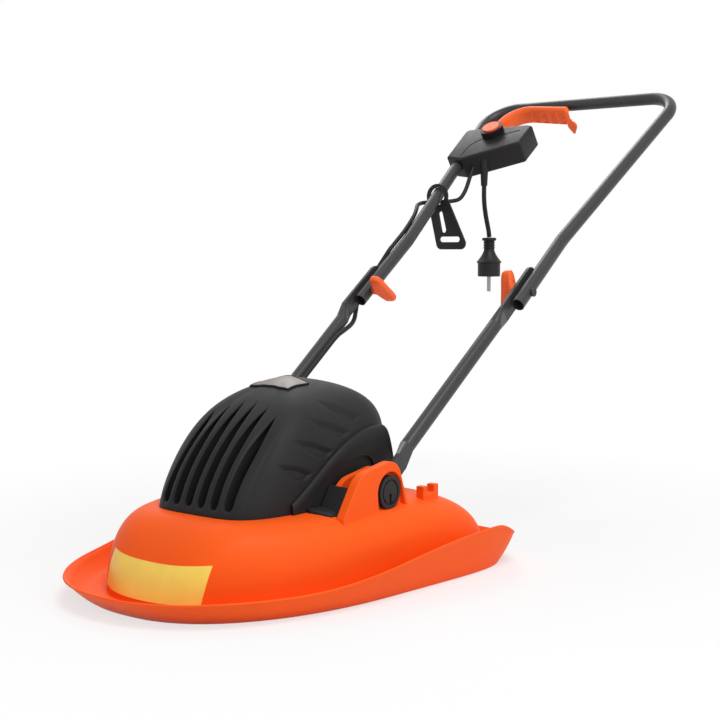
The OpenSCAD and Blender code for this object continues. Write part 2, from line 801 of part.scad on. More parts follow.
cap_rim = 5;
cap_recess = 2;
cap_face_d = 28;
cap_notch_w = 4;
cap_notch_l = 12;
module pivot_cap(s) color("black") mirror([s, 0, 0]) difference() {
    at_pivot(cap_seat_x) cylinder(d = cap_d, h = cap_t);
    at_pivot(cap_seat_x - over) cylinder(d = pin_d + 2 * slip_gap, h = cap_t / 2 + over);
    at_pivot(guard_x - cap_recess) washer_ring(cap_d / 2 - cap_rim, cap_face_d / 2, cap_recess + over);
    at_pivot(guard_x - cap_recess) translate([cap_face_d / 2 - cap_notch_l, -cap_notch_w / 2, 0])
        cube([cap_notch_l, cap_notch_w, cap_recess + over]);
}
module pivot_cap_left() pivot_cap(0);
module pivot_cap_right() pivot_cap(1);

// Lower arms: round tube, pressed flat at both ends

flat_t = 4.5;
flat_w = 26;
flat_end_s = 51;
tube_tail = 30;
tube_end_s = bolt_s - tube_tail;
eye_r = 14;
low_round_s = 84;
low_flat_s = 56;
high_round_back = 78;
high_flat_back = 52;
high_round_s = bolt_s - high_round_back;
high_flat_s = bolt_s - high_flat_back;
left_low_jog = 8.5;
left_high_jog = 14;
right_low_jog = 9.5;
right_high_jog = 5;
left_low_x = flat_low_x - left_low_jog;
left_high_x = arm_half - left_high_jog;
left_flat_x = arm_half - tube_d / 2 - move_gap - flat_t / 2;
right_low_x = -flat_low_x - right_low_jog;
right_high_x = -arm_half - right_high_jog;
right_flat_x = -arm_half - tube_d / 2 - move_gap - flat_t / 2;

root_gap = 0.1;

// Rod between two places on an arm
module arm_rod(p, q, d) {
    v = q - p;
    translate(p) rotate([0, acos(v.z / norm(v)), atan2(v.y, v.x)]) cylinder(d = d, h = norm(v));
}

module flat_plate(x, t, s0, s1, w) translate([x - t / 2, s0, -w / 2]) cube([t, s1 - s0, w]);

module lower_arm(low_x, high_x, low_flat_x, high_flat_x) color("dimgray") in_handle() {
    low = [low_x, low_round_s, -handle_drop];
    high = [high_x, high_round_s, -handle_drop];
    step = unit(high - low);
    difference() {
        union() {
            arm_rod(low, high, tube_d);
            hull() {
                arm_rod(low - step, low + step, tube_d - root_gap, $fn = 32);
                translate([0, 0, -handle_drop / 2]) flat_plate(low_flat_x, flat_low_t, low_flat_s, low_flat_s + over, flat_w);
            }
            hull() {
                arm_rod(high - step, high + step, tube_d - root_gap, $fn = 32);
                translate([0, 0, -handle_drop]) flat_plate(high_flat_x, flat_t, high_flat_s - over, high_flat_s, flat_w);
            }
            translate([0, 0, -handle_drop / 2]) flat_plate(low_flat_x, flat_low_t, eye_r / 2, low_flat_s + over, flat_w);
            along_x(low_flat_x - flat_low_t / 2) cylinder(r = eye_r, h = flat_low_t);
            translate([0, 0, -handle_drop])
                flat_plate(high_flat_x, flat_t, high_flat_s - over, bolt_s + flat_end_s - flat_w / 2, flat_w);
            translate([0, bolt_s + flat_end_s - flat_w / 2, -handle_drop]) along_x(high_flat_x - flat_t / 2)
                cylinder(d = flat_w, h = flat_t);
        }
        along_x(low_flat_x - flat_low_t) cylinder(d = pin_d + 2 * run_gap, h = 2 * flat_low_t);
        translate([0, bolt_s, -handle_drop]) along_x(high_flat_x - flat_t) cylinder(d = bolt_d + 2 * run_gap, h = 2 * flat_t);
    }
}
module lower_arm_left() lower_arm(left_low_x, left_high_x, flat_low_x, left_flat_x);
module lower_arm_right() lower_arm(right_low_x, right_high_x, -flat_low_x, right_flat_x);

// Fold joint: bolts through both tubes, wing knobs on the inner side

bolt_head_d = 13;
bolt_head_t = 3;
knob_hub_d = 19;
knob_hub_l = 13;
knob_wing_t = 12;
knob_wing_r = 10;
knob_wing_reach = 21;
knob_left_x = left_flat_x - flat_t / 2 - move_gap;
knob_right_x = -arm_half + tube_d / 2 + move_gap;
knob_l = knob_hub_l + knob_wing_t;
bolt_left_x = arm_half + tube_d / 2;
bolt_right_x = right_flat_x - flat_t / 2 - move_gap;

module fold_bolt_left() color("silver") {
    at_bolt(knob_left_x - knob_hub_l) cylinder(d = bolt_d, h = bolt_left_x - knob_left_x + knob_hub_l + bolt_head_t);
    at_bolt(bolt_left_x) cylinder(d = bolt_head_d, h = bolt_head_t);
}
module fold_bolt_right() color("silver") {
    at_bolt(bolt_right_x - bolt_head_t) cylinder(d = bolt_d, h = knob_right_x + knob_hub_l - bolt_right_x + bolt_head_t);
    at_bolt(bolt_right_x - bolt_head_t) cylinder(d = bolt_head_d, h = bolt_head_t);
}

// Wing knob with its foot at the origin and its wings at the far end, along z
module wing_knob(turn) rotate([0, 0, turn]) difference() {
    union() {
        cylinder(d = knob_hub_d, h = knob_hub_l + knob_wing_t / 2);
        translate([0, 0, knob_hub_l - knob_wing_t / 2]) linear_extrude(knob_wing_t * 3 / 2) hull()
            for (s = [-1, 1]) translate([s * knob_wing_reach, 0]) circle(r = knob_wing_r, $fn = 32);
    }
    translate([0, 0, -over]) cylinder(d = bolt_d + 2 * run_gap, h = knob_hub_l + 2 * over);
}
left_knob_turn = 144;
right_knob_turn = 20;
module wing_knob_left() color("orangered") at_bolt(knob_left_x) mirror([0, 0, 1]) wing_knob(left_knob_turn);
module wing_knob_right() color("orangered") at_bolt(knob_right_x) wing_knob(right_knob_turn);

// Upper handle: one tube bent to a U

flare_angle = atan((corner_half - arm_half) / (handle_reach - kink_s));
kink_r = 80;
kink_run = kink_r * tan(flare_angle / 2);
corner_turn = 90 + flare_angle;
corner_run = corner_r * tan(corner_turn / 2);
arm_dir = [sin(flare_angle), cos(flare_angle)];
flare_l = norm([corner_half - arm_half, handle_reach - kink_s]);
function arm_x(s) = s < kink_s ? arm_half : arm_half + (s - kink_s) * tan(flare_angle);

// Bends are a hair thicker than the straight runs, whose ends reach into them
bend_swell = 0.1;
bend_reach = 0.6;
module pipe(l) washer_ring(tube_d / 2, tube_d / 2 - tube_wall, l);
module pipe_bend(r, turn) rotate_extrude(angle = turn) translate([r, 0]) difference() {
    circle(r = tube_d / 2 + bend_swell);
    circle(r = tube_d / 2 - tube_wall - bend_swell);
}
module half_u() {
    kink_top = [arm_half, kink_s] + (kink_run - bend_reach) * arm_dir;
    corner_low = [corner_half, handle_reach] - corner_run * arm_dir;
    translate([arm_half, tube_end_s, 0]) rotate([-90, 0, 0]) pipe(kink_s - kink_run + bend_reach - tube_end_s);
    translate([arm_half + kink_r, kink_s - kink_run, 0]) rotate([0, 0, 180 - flare_angle]) pipe_bend(kink_r, flare_angle);
    translate([kink_top.x, kink_top.y, 0]) rotate([-90, 0, -flare_angle])
        pipe(flare_l - kink_run - corner_run + 2 * bend_reach);
    translate([corner_low.x - corner_r * arm_dir.y, corner_low.y + corner_r * arm_dir.x, 0])
        rotate([0, 0, -flare_angle]) pipe_bend(corner_r, corner_turn);
}
module in_tube() in_handle() translate([0, 0, -handle_drop]) children();
module upper_tube() color("dimgray") in_tube() difference() {
    union() {
        half_u();
        mirror([1, 0, 0]) half_u();
        translate([corner_run - corner_half - bend_reach, handle_reach, 0]) rotate([0, 90, 0])
            pipe(2 * (corner_half - corner_run + bend_reach));
    }
    for (s = [-1, 1]) translate([s * arm_half, bolt_s, 0]) along_x(-tube_d)
        cylinder(d = bolt_d + 2 * slip_gap, h = 2 * tube_d);
}

// Switch box on the right arm, split on the tube's middle plane

box_from_bar = 187;
box_l = 102;
box_front_s = handle_reach - box_from_bar;
box_back_s = box_front_s + box_l;
box_side = 8;
box_right_x = arm_x((box_front_s + box_back_s) / 2) + tube_d / 2 + box_side;
box_left_x = 54;
box_high = 17;
box_low = box_t - box_high;
box_wall = 4;
box_cut = 34;
box_nose = 44;
box_round = 4;
module box_plan() offset(r = box_round, $fn = 24) offset(delta = -box_round) polygon([
    [-box_right_x + box_round, box_front_s + box_wall * 2],
    [-box_right_x + box_cut + box_round, box_front_s],
    [-box_left_x, box_front_s + box_nose],
    [-box_left_x, box_back_s - box_wall],
    [-box_left_x - box_wall * 3, box_back_s],
    [-box_right_x + box_wall, box_back_s - box_wall],
    [-box_right_x, box_back_s - box_wall * 3]
]);

bay_right_x = 154;
bay_left_x = 88;
bay_in = 40;
bay_back_wall = 6;
bay_front_s = box_front_s + bay_in;
bay_back_s = box_back_s - bay_back_wall;
module box_bay(z0, z1) translate([-bay_right_x, bay_front_s, z0]) cube([bay_right_x - bay_left_x, bay_back_s - bay_front_s, z1 - z0]);

button_x = -123;
button_in = 24;
button_s = box_back_s - button_in;
hinge_x = -146;
hinge_in = 16;
hinge_s = box_back_s - hinge_in;
hinge_d = 6;
bail_gate_right = 161;
bail_gate_left = 116;
bail_gate_h = 13.6;
box_screw_x = -68;
box_screw_ins = [90, 58];
arm_screw_x = -142;
arm_screw_in = 12;
box_screw_spots = [
    [box_screw_x, box_front_s + box_screw_ins[0]], [box_screw_x, box_front_s + box_screw_ins[1]],
    [arm_screw_x, box_front_s + arm_screw_in]
];
box_screw_d = 4;
box_screw_head_d = 7;
box_screw_head_h = 4;

// All that is cut from both halves of the box
module box_cuts() {
    translate([-arm_x(box_front_s), box_front_s, 0]) rotate([-90, 0, flare_angle])
        translate([0, 0, -box_cut]) cylinder(d = tube_d + 2 * slip_gap, h = box_back_s - box_front_s + 2 * box_cut);
    box_bay(-box_low + box_wall, box_high - box_wall);
    translate([-bail_gate_right, bay_back_s - over, -bail_gate_h])
        cube([bail_gate_right - bail_gate_left, box_back_s - bay_back_s + 2 * over, 2 * bail_gate_h]);
    translate([button_x, button_s, 0]) cylinder(d = button_d + 2 * move_gap, h = box_high + over);
    translate([hinge_x, hinge_s, -box_low + box_wall / 2])
        cylinder(d = hinge_d + 2 * slip_gap, h = box_t - box_wall);
    arm_rod(upper_route[1], upper_route[0] + over * unit(upper_route[0] - upper_route[1]), cable_d + 2 * slip_gap);
    for (p = box_screw_spots) translate([p.x, p.y, -box_low - over]) {
        cylinder(d = box_screw_d + 2 * slip_gap, h = box_t - box_wall + over);
        cylinder(d = box_screw_head_d + 2 * move_gap, h = box_screw_head_h + over);
    }
}

// Straight line down which the mains lead hangs
lead_x = -118;
lead_in = 3.2;
lead_gland_hang = 15.3;
lead_y = pivot_y + (box_front_s + lead_in) * cos(handle_tilt) + (handle_drop + box_low) * sin(handle_tilt);
lead_top_z = pivot_z + (box_front_s + lead_in) * sin(handle_tilt) - (handle_drop + box_low) * cos(handle_tilt)
    - lead_gland_hang;
lead_gland_d = 14;
lead_gland_tip_d = 11;
lead_gland_l = 31;
lead_root_l = 26;
module lead_bore() at_origin() translate([lead_x, lead_y, lead_top_z])
    cylinder(d = lead_gland_d + 2 * slip_gap, h = lead_gland_l + lead_root_l);

module box_lower() color("black") difference() {
    in_tube() difference() {
        translate([0, 0, -box_low]) linear_extrude(box_low) box_plan();
        box_cuts();
    }
    lead_bore();
}
module box_upper() color("black") difference() {
    in_tube() difference() {
        linear_extrude(box_high) box_plan();
        box_cuts();
    }
    lead_bore();
}
module box_screws() color("silver") in_tube() for (p = box_screw_spots) translate([p.x, p.y, -box_low]) {
    cylinder(d = box_screw_head_d, h = box_screw_head_h);
    cylinder(d = box_screw_d, h = box_t - box_wall - over);
}

ring_h = 12;
ring_grooves = 30;
ring_groove_d = 1.6;
module button_ring() color("black") in_tube() translate([button_x, button_s, box_high]) difference() {
    washer_ring(ring_d / 2, button_d / 2 + move_gap, ring_h);
    for (i = [0 : ring_grooves - 1]) rotate([0, 0, 360 * i / ring_grooves]) translate([ring_d / 2, 0, over])
        cylinder(d = ring_groove_d, h = ring_h, $fn = 16);
}

button_proud = 3;
button_flange = 2;
button_flange_t = 2;
module lock_button() color("orangered") in_tube() translate([button_x, button_s, 0]) {
    translate([0, 0, box_high - box_wall - move_gap]) cylinder(d = button_d, h = box_wall + ring_h + button_proud + move_gap);
    translate([0, 0, box_high - box_wall - move_gap - button_flange_t])
        cylinder(d = button_d + 2 * button_flange, h = button_flange_t);
}

switch_size = [28, 10, 14];
switch_x = -118;
switch_in = 46;
switch_spot = [switch_x, box_front_s + switch_in];
module micro_switch() color("black") in_tube()
    translate([switch_spot.x, switch_spot.y, -box_low + box_wall]) cube(switch_size);

module bail_pin() color("silver") in_tube() translate([hinge_x, hinge_s, -box_low + box_wall / 2])
    cylinder(d = hinge_d, h = box_t - box_wall);

// Bail: a channel that closes over the crossbar, with finger scallops on its web.
// It is drawn gripped and then turned back to its released place.

bail_hub_d = 13;
bail_hub_h = 12;
bail_clear = 1.2;
bail_depth = 8.5;
// Grip's reach above and below the tubes' middle plane, at its root and at its free end
bail_high = [16, 10];
bail_low = [13, 25];
bail_out_shares = [[0.25, 0.93], [-0.35, 1], [-0.85, 0.65], [-1, 0], [-1, -0.5], [-0.8, -0.83], [-0.15, -1], [0.3, -0.95]];
bail_in_shares = [[0.25, 0.73], [0, 0.73], [-0.35, 0.46], [-0.53, 0], [-0.53, -0.46], [-0.35, -0.72], [0, -0.84], [0.3, -0.82]];
bail_tab_r = 9;
bail_tab_tip_r = 2;
bail_tab_drop = 14;
bail_tab_t = 4;
bail_end_x = -24;
bail_bend_r = 40;
bail_web_s = handle_reach - tube_d / 2 - bail_clear;
bail_start_x = -139;
bail_root_clear = 5;
bail_root_s = box_back_s + bail_root_clear;
bail_root_steps = 2;
bail_steps = 8;
bail_straight_steps = 14;
bail_last = bail_root_steps + bail_steps + bail_straight_steps;
scallop_depth = 2.2;
scallop_count = 4;
scallop_from_share = 0.3;
bail_grip_share = 0.7;

// Centre line of the web's inner face: a root, a quarter turn, then straight along the crossbar
bail_turn_s = bail_web_s - bail_bend_r;
function bail_line() = concat(
    [for (i = [0 : bail_root_steps - 1])
        [bail_start_x, bail_root_s + (bail_turn_s - bail_root_s) * i / bail_root_steps]],
    [for (i = [0 : bail_steps])
        let (a = 180 - 90 * i / bail_steps)
        [bail_start_x + bail_bend_r + bail_bend_r * cos(a),
         bail_turn_s + bail_bend_r * sin(a)]],
    [for (i = [1 : bail_straight_steps])
        [bail_start_x + bail_bend_r + (bail_end_x - bail_start_x - bail_bend_r) * i / bail_straight_steps,
         bail_web_s]]);
function bail_normal(i) =
    let (p = bail_line(), n = len(p), t = unit(p[min(n - 1, i + 1)] - p[max(0, i - 1)]))
    [-t.y, t.x];
function scallop(i) =
    let (n = bail_last,
         u = (i / n - scallop_from_share) / (1 - scallop_from_share))
    u <= 0 ? 0 : scallop_depth * abs(sin(180 * scallop_count * u));
function bail_rows(shares, deep) = [
    for (i = [0 : bail_last])
    let (p = bail_line()[i], q = bail_normal(i), t = i / bail_last,
         high = bail_high[0] + (bail_high[1] - bail_high[0]) * t,
         low = bail_low[0] + (bail_low[1] - bail_low[0]) * t)
    [for (c = shares)
        let (cut = c[0] < -bail_grip_share && c[1] <= 0 ? deep * scallop(i) : 0,
             d = bail_depth * c[0] + cut, z = c[1] * (c[1] > 0 ? high : low))
        [p.x + q.x * d, p.y + q.y * d, z]]
];
// Drop-shaped tab under the free end
module bail_tab() translate([bail_end_x, bail_web_s - bail_depth / 2, -bail_low[1]]) rotate([90, 0, 0])
    translate([0, 0, -bail_tab_t / 2]) linear_extrude(bail_tab_t) hull() {
        circle(r = bail_tab_r, $fn = 32);
        translate([0, -bail_tab_drop]) circle(r = bail_tab_tip_r, $fn = 32);
    }
module bail_lever() color("orangered") in_tube()
    translate([hinge_x, hinge_s, 0]) rotate([0, 0, -bail_angle]) translate([-hinge_x, -hinge_s, 0])
    difference() {
        union() {
            thick_patch(bail_rows(bail_out_shares, 1), bail_rows(bail_in_shares, 0));
            bail_tab();
            translate([hinge_x, hinge_s, -bail_hub_h / 2]) cylinder(d = bail_hub_d, h = bail_hub_h);
            translate([0, 0, -bail_hub_h / 2]) linear_extrude(bail_hub_h) polygon([
                [hinge_x - bail_hub_d / 2, hinge_s],
                [hinge_x + bail_hub_d / 2, hinge_s],
                [bail_start_x + bail_depth, bail_turn_s],
                [bail_start_x, bail_turn_s]
            ]);
        }
        translate([hinge_x, hinge_s, -bail_hub_h]) cylinder(d = hinge_d + 2 * run_gap, h = 2 * bail_hub_h);
    }

// Cable retainer: a flat hook that hangs on the right arm

retainer_from_box = 88;
retainer_s = box_front_s - retainer_from_box;
retainer_t = 4;
retainer_ring_r = 21;
retainer_hole_r = 15;
retainer_x = -arm_x(retainer_s);
retainer_rise = tube_d / 2 / cos(handle_tilt) + retainer_t / 2 * tan(handle_tilt);
retainer_h = 90;
retainer_low_l = 8;
retainer_low_r = 57;
retainer_slot_w = 8;
retainer_neck_shares = [0.6, 0.8];
module retainer_plan() difference() {
    union() {
        circle(r = retainer_ring_r);
        polygon([
            [-retainer_ring_r * retainer_neck_shares.x, -retainer_ring_r * retainer_neck_shares.y],
            [retainer_low_l - retainer_slot_w, -retainer_h + retainer_slot_w],
            [retainer_low_l, -retainer_h],
            [retainer_low_r - retainer_slot_w, -retainer_h],
            [retainer_low_r, -retainer_h + retainer_slot_w],
            [retainer_ring_r, 0]
        ]);
    }
    circle(r = retainer_hole_r);
    polygon([
        [retainer_slot_w / 2, -retainer_ring_r - retainer_slot_w / 2],
        [retainer_slot_w * 3 / 2, -retainer_ring_r - retainer_slot_w / 2],
        [retainer_slot_w * 5 / 2, -retainer_h + retainer_slot_w * 4],
        [retainer_slot_w * 3 / 2, -retainer_h + retainer_slot_w * 4]
    ]);
    translate([retainer_low_l, -retainer_h + retainer_slot_w * 2])
        square([retainer_low_r - retainer_low_l - retainer_slot_w * 3 / 2, retainer_slot_w]);
}
module cable_retainer() color("black") at_origin()
    translate([retainer_x, pivot_y + retainer_s * cos(handle_tilt) + handle_drop * sin(handle_tilt),
               pivot_z + retainer_s * sin(handle_tilt) - handle_drop * cos(handle_tilt)
               + retainer_rise - retainer_hole_r + move_gap])
    rotate([90, 0, 0]) translate([0, 0, -retainer_t / 2]) linear_extrude(retainer_t) retainer_plan();

// Motor cable: from the box along the right arm, across the fold joint, into the cover.
// Its points are in the handle's frame, with z off the tubes' middle plane.

// Those of the upper run lie at shares of the way from the fold's run to the box.
fold_top_s = 520;
upper_shares = [
    1.0333, 0.9583, 0.8667, 0.7833, 0.7167, 0.6708, 0.6, 0.5167, 0.425, 0.3333, 0.1667, 0.00125
];
upper_places = [
    [-136, -7], [-137, -15], [-139, -27], [-142, -31], [-150, -25], [-168, -18],
    [-184, -8], [-180, 1], [-168, 7], [-160, 8.5], [-154.6, 8.5], [-154, 8.5]
];
upper_route = [
    for (i = [0 : len(upper_shares) - 1])
    [upper_places[i][0], fold_top_s + (box_front_s - fold_top_s) * upper_shares[i], upper_places[i][1]]
];
fold_route = [
    [-154, 519.7, 8.5], [-153.8, 506, 8.5], [-156.5, 493, 3.5], [-158, 479, -8], [-152, 460, -17.5],
    [-144, 435, -19], [-141, 405, -19], [-138.5, 380, -17], [-134, 362, -9], [-131.2, 347, -0.7],
    [-130.5, 335.3, 0]
];
lower_route = [[-130.5, 334.7, 0], [-129.8, 300, 2], [-128.6, 220, 2], [-127.2, 140.3, 2]];
entry_route = [
    [-127.2, 139.7, 2], [-127, 131, 2], [-123.5, 123.5, -5.5], [-114, 124, -16.5], [-98, 131, -26],
    [-76, 136, -31], [-58, 135, -30], [-50, 131.2, -26.6], [-50, 123.3, -20.8]
];
cable_sides = 8;
module cable_run(route) color("black") in_tube() swept_tube(curve(route, 2), cable_d, cable_sides);
module cable_run_upper() cable_run(upper_route);
module cable_run_fold() cable_run(fold_route);
module cable_run_lower() cable_run(lower_route);
module cable_run_entry() cable_run(entry_route);

// Mains lead with its strain relief and plug

module lead_gland() color("black") at_origin() translate([lead_x, lead_y, lead_top_z]) {
    cylinder(d1 = lead_gland_tip_d, d2 = lead_gland_d, h = lead_gland_l);
    translate([0, 0, lead_gland_l]) cylinder(d = lead_gland_d, h = lead_root_l - over);
}

// Its points, back and up from the strain relief
lead_drops = [[0, 0], [0, -18], [2, -35], [6.5, -52], [12, -67], [16, -78], [18, -88]];
lead_route = [for (p = lead_drops) [lead_x, lead_y + p.x, lead_top_z + p.y]];
module mains_lead() color("black") at_origin() swept_tube(lead_route, lead_d, cable_sides);

plug_gap = 1;
plug_y = lead_route[len(lead_route) - 1].y;
plug_top_z = lead_route[len(lead_route) - 1].z - plug_gap;
plug_l = 68;
plug_chamfer = 1;
plug_face_r = plug_d / 2 - plug_chamfer;
plug_waist_r = 9;
plug_waist_share = 0.48;
plug_flare_share = 0.66;
plug_rib_depth = 1.2;
plug_ribs = 4;
pin_gauge = 19;
plug_pin_d = 4.8;
plug_pin_l = 26;
plug_turn = 128;
module at_plug() at_origin() translate([lead_x, plug_y, plug_top_z]) mirror([0, 0, 1]) children();
module plug_body() color("black") at_plug() difference() {
    rotate_extrude() polygon([
        [0, 0], [plug_waist_r - plug_rib_depth, 0], [plug_waist_r, plug_l * plug_waist_share / 8],
        [plug_waist_r, plug_l * plug_waist_share], [plug_d / 2, plug_l * plug_flare_share],
        [plug_d / 2, plug_l - plug_rib_depth], [plug_face_r, plug_l], [0, plug_l]
    ]);
    for (i = [1 : plug_ribs]) translate([0, 0, plug_l * plug_waist_share * i / (plug_ribs + 1)])
        washer_ring(plug_waist_r + over, plug_waist_r - plug_rib_depth, plug_rib_depth * 2);
    rotate([0, 0, plug_turn]) for (s = [-1, 1]) translate([s * pin_gauge / 2, 0, plug_l - plug_pin_l / 2])
        cylinder(d = plug_pin_d + 2 * slip_gap, h = plug_pin_l / 2 + over);
}
module plug_pins() color("silver") at_plug() rotate([0, 0, plug_turn]) for (s = [-1, 1])
    translate([s * pin_gauge / 2, 0, plug_l - plug_pin_l / 2]) cylinder(d = plug_pin_d, h = plug_pin_l / 2 + plug_pin_l);

deck_shell();
motor_cover();
cover_screws();
cable_gland();
motor_carrier();
carrier_screws();
motor_frame();
stator_core();
field_coils();
end_bracket();
brush_holders();
carbon_brushes();
lower_bearing();
upper_bearing();
motor_shaft();
rotor_core();
commutator();
fan();
blade_spacers();
cutter_blade();
blade_bolt();
pivot_pin_left();
pivot_pin_right();
pivot_cap_left();
pivot_cap_right();
lower_arm_left();
lower_arm_right();
fold_bolt_left();
fold_bolt_right();
wing_knob_left();
wing_knob_right();
upper_tube();
box_lower();
box_upper();
box_screws();
button_ring();
lock_button();
micro_switch();
bail_pin();
bail_lever();
cable_retainer();
cable_run_upper();
cable_run_fold();
cable_run_lower();
cable_run_entry();
lead_gland();
mains_lead();
plug_body();
plug_pins();
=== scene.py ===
import json
import math
import bmesh
import bpy
import numpy as np
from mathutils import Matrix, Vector
from mathutils.bvhtree import BVHTree


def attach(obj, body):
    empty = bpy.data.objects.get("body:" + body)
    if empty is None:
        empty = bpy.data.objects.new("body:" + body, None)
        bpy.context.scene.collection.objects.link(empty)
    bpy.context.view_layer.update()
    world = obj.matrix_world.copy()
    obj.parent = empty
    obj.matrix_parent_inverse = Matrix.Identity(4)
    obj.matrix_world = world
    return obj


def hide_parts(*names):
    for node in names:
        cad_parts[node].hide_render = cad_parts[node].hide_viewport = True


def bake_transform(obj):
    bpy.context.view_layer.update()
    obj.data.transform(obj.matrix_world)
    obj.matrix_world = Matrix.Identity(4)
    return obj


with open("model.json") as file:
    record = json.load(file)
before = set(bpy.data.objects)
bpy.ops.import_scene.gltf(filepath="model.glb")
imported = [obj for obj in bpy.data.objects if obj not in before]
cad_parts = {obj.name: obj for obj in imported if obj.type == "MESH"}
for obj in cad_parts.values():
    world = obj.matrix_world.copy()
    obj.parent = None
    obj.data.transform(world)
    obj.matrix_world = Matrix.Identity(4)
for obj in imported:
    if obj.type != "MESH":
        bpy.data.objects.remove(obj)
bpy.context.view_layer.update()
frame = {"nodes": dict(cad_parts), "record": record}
NODES, RECORD = frame["nodes"], frame["record"]
SCENE = bpy.context.scene
SCENE.view_settings.view_transform = "Standard"
MM = 0.001
SIDES = ((1, "left"), (-1, "right"))

# Camera at the photograph's place
cam_data = bpy.data.cameras.new("camera")
cam_data.lens = 64.1
cam_data.sensor_width = 36
cam_data.clip_end = 60
camera = bpy.data.objects.new("camera", cam_data)
camera.location = (1.0825, -1.4860, 0.4106)
camera.rotation_euler = (math.radians(85.19), 0, math.radians(37.74))
SCENE.collection.objects.link(camera)
SCENE.camera = camera

# Sizes of the part in millimetres, with y from the front of the sole
SOLE = dict(half=192, length=514, taper=0.165, nose=2.45, tail=5.7)
RIM = dict(side_flare=22, nose_flare=38, nose_high=30, side_high=61, tail_high=30.5,
           rise=(-0.6, 0.63), fall=(0.66, 1.0))
COVER = dict(half=98, length=290, taper=0.06, nose=4.2, tail=4, front=108, height=152, wall=3, top=0.61)
RISE = dict(power=0.75, nose_power=0.63, nose=1.5, side=4.6, tail=8)
SEAT_Z, GUTTER_Z, GUTTER_W, RING_W, WALL, LIP = 98, 7, 20, 12, 3, 3.2
PIVOT_Y, PIVOT_Z, TILT, DROP, REACH, TUBE_R = 306, 113, math.radians(36.2), 5, 947, 10
MID_Y = (PIVOT_Y + REACH * math.cos(TILT) + DROP * math.sin(TILT) + TUBE_R - RIM["nose_flare"]) / 2


def deck_pt(p):
    """A point in the deck's millimetres as a point of the row frame."""
    return (p[0] * MM, (p[1] - MID_Y) * MM, p[2] * MM)


def tube_pt(p):
    """A point in the handle's frame, z off the tubes' middle plane, in the row frame."""
    x, s, w = p[0], p[1], p[2] - DROP
    y = PIVOT_Y + s * math.cos(TILT) - w * math.sin(TILT)
    z = PIVOT_Z + s * math.sin(TILT) + w * math.cos(TILT)
    return deck_pt((x, y, z))


def ease(u):
    u = min(1, max(0, u))
    return u * u * (3 - 2 * u)


def eased(v, span):
    """0 before a span, 1 after it, and a smooth rise between."""
    return ease((v - span[0]) / (span[1] - span[0]))


def between(ends, share):
    return ends[0] + (ends[1] - ends[0]) * share


# Materials

def new_mat(name):
    mat = bpy.data.materials.new(name)
    mat.use_nodes = True
    nt = mat.node_tree
    return mat, nt, nt.nodes["Principled BSDF"]


def noise(nt, scale, detail=3.0, rough=0.55):
    tex = nt.nodes.new("ShaderNodeTexCoord")
    n = nt.nodes.new("ShaderNodeTexNoise")
    n.inputs["Scale"].default_value = scale
    n.inputs["Detail"].default_value = detail
    n.inputs["Roughness"].default_value = rough
    nt.links.new(tex.outputs["Object"], n.inputs["Vector"])
    return n.outputs["Fac"]


def ramp(nt, fac, dark, light):
    r = nt.nodes.new("ShaderNodeValToRGB")
    for e, pos, col in zip(r.color_ramp.elements, (0.3, 0.7), (dark, light)):
        e.position = pos
        e.color = (*col, 1)
    nt.links.new(fac, r.inputs["Fac"])
    return r.outputs["Color"]


def spread(nt, fac, low, high):
    m = nt.nodes.new("ShaderNodeMapRange")
    m.inputs["To Min"].default_value = low
    m.inputs["To Max"].default_value = high
    nt.links.new(fac, m.inputs["Value"])
    return m.outputs["Result"]


def bump(nt, bsdf, fac, strength, distance):
    b = nt.nodes.new("ShaderNodeBump")
    b.inputs["Strength"].default_value = strength
    b.inputs["Distance"].default_value = distance
    nt.links.new(fac, b.inputs["Height"])
    nt.links.new(b.outputs["Normal"], bsdf.inputs["Normal"])


def lin(*srgb):
    return tuple((c / 255 / 12.92) if c <= 10 else ((c / 255 + 0.055) / 1.055) ** 2.4 for c in srgb)


def surface(name, colour, rough, grain, grain_depth, strength, vary, vary_scale, metal=0.0, specular=0.25):
    """Moulded, painted or metal surface: slow colour change, uneven gloss and a fine grain."""
    mat, nt, bsdf = new_mat(name)
    dark = tuple(c * (1 - vary) for c in colour)
    light = tuple(min(1, c * (1 + vary)) for c in colour)
    nt.links.new(ramp(nt, noise(nt, vary_scale), dark, light), bsdf.inputs["Base Color"])
    nt.links.new(spread(nt, noise(nt, vary_scale * 5), *rough), bsdf.inputs["Roughness"])
    bump(nt, bsdf, noise(nt, grain, 2), strength, grain_depth)
    bsdf.inputs["Metallic"].default_value = metal
    bsdf.inputs["Specular IOR Level"].default_value = specular
    return mat


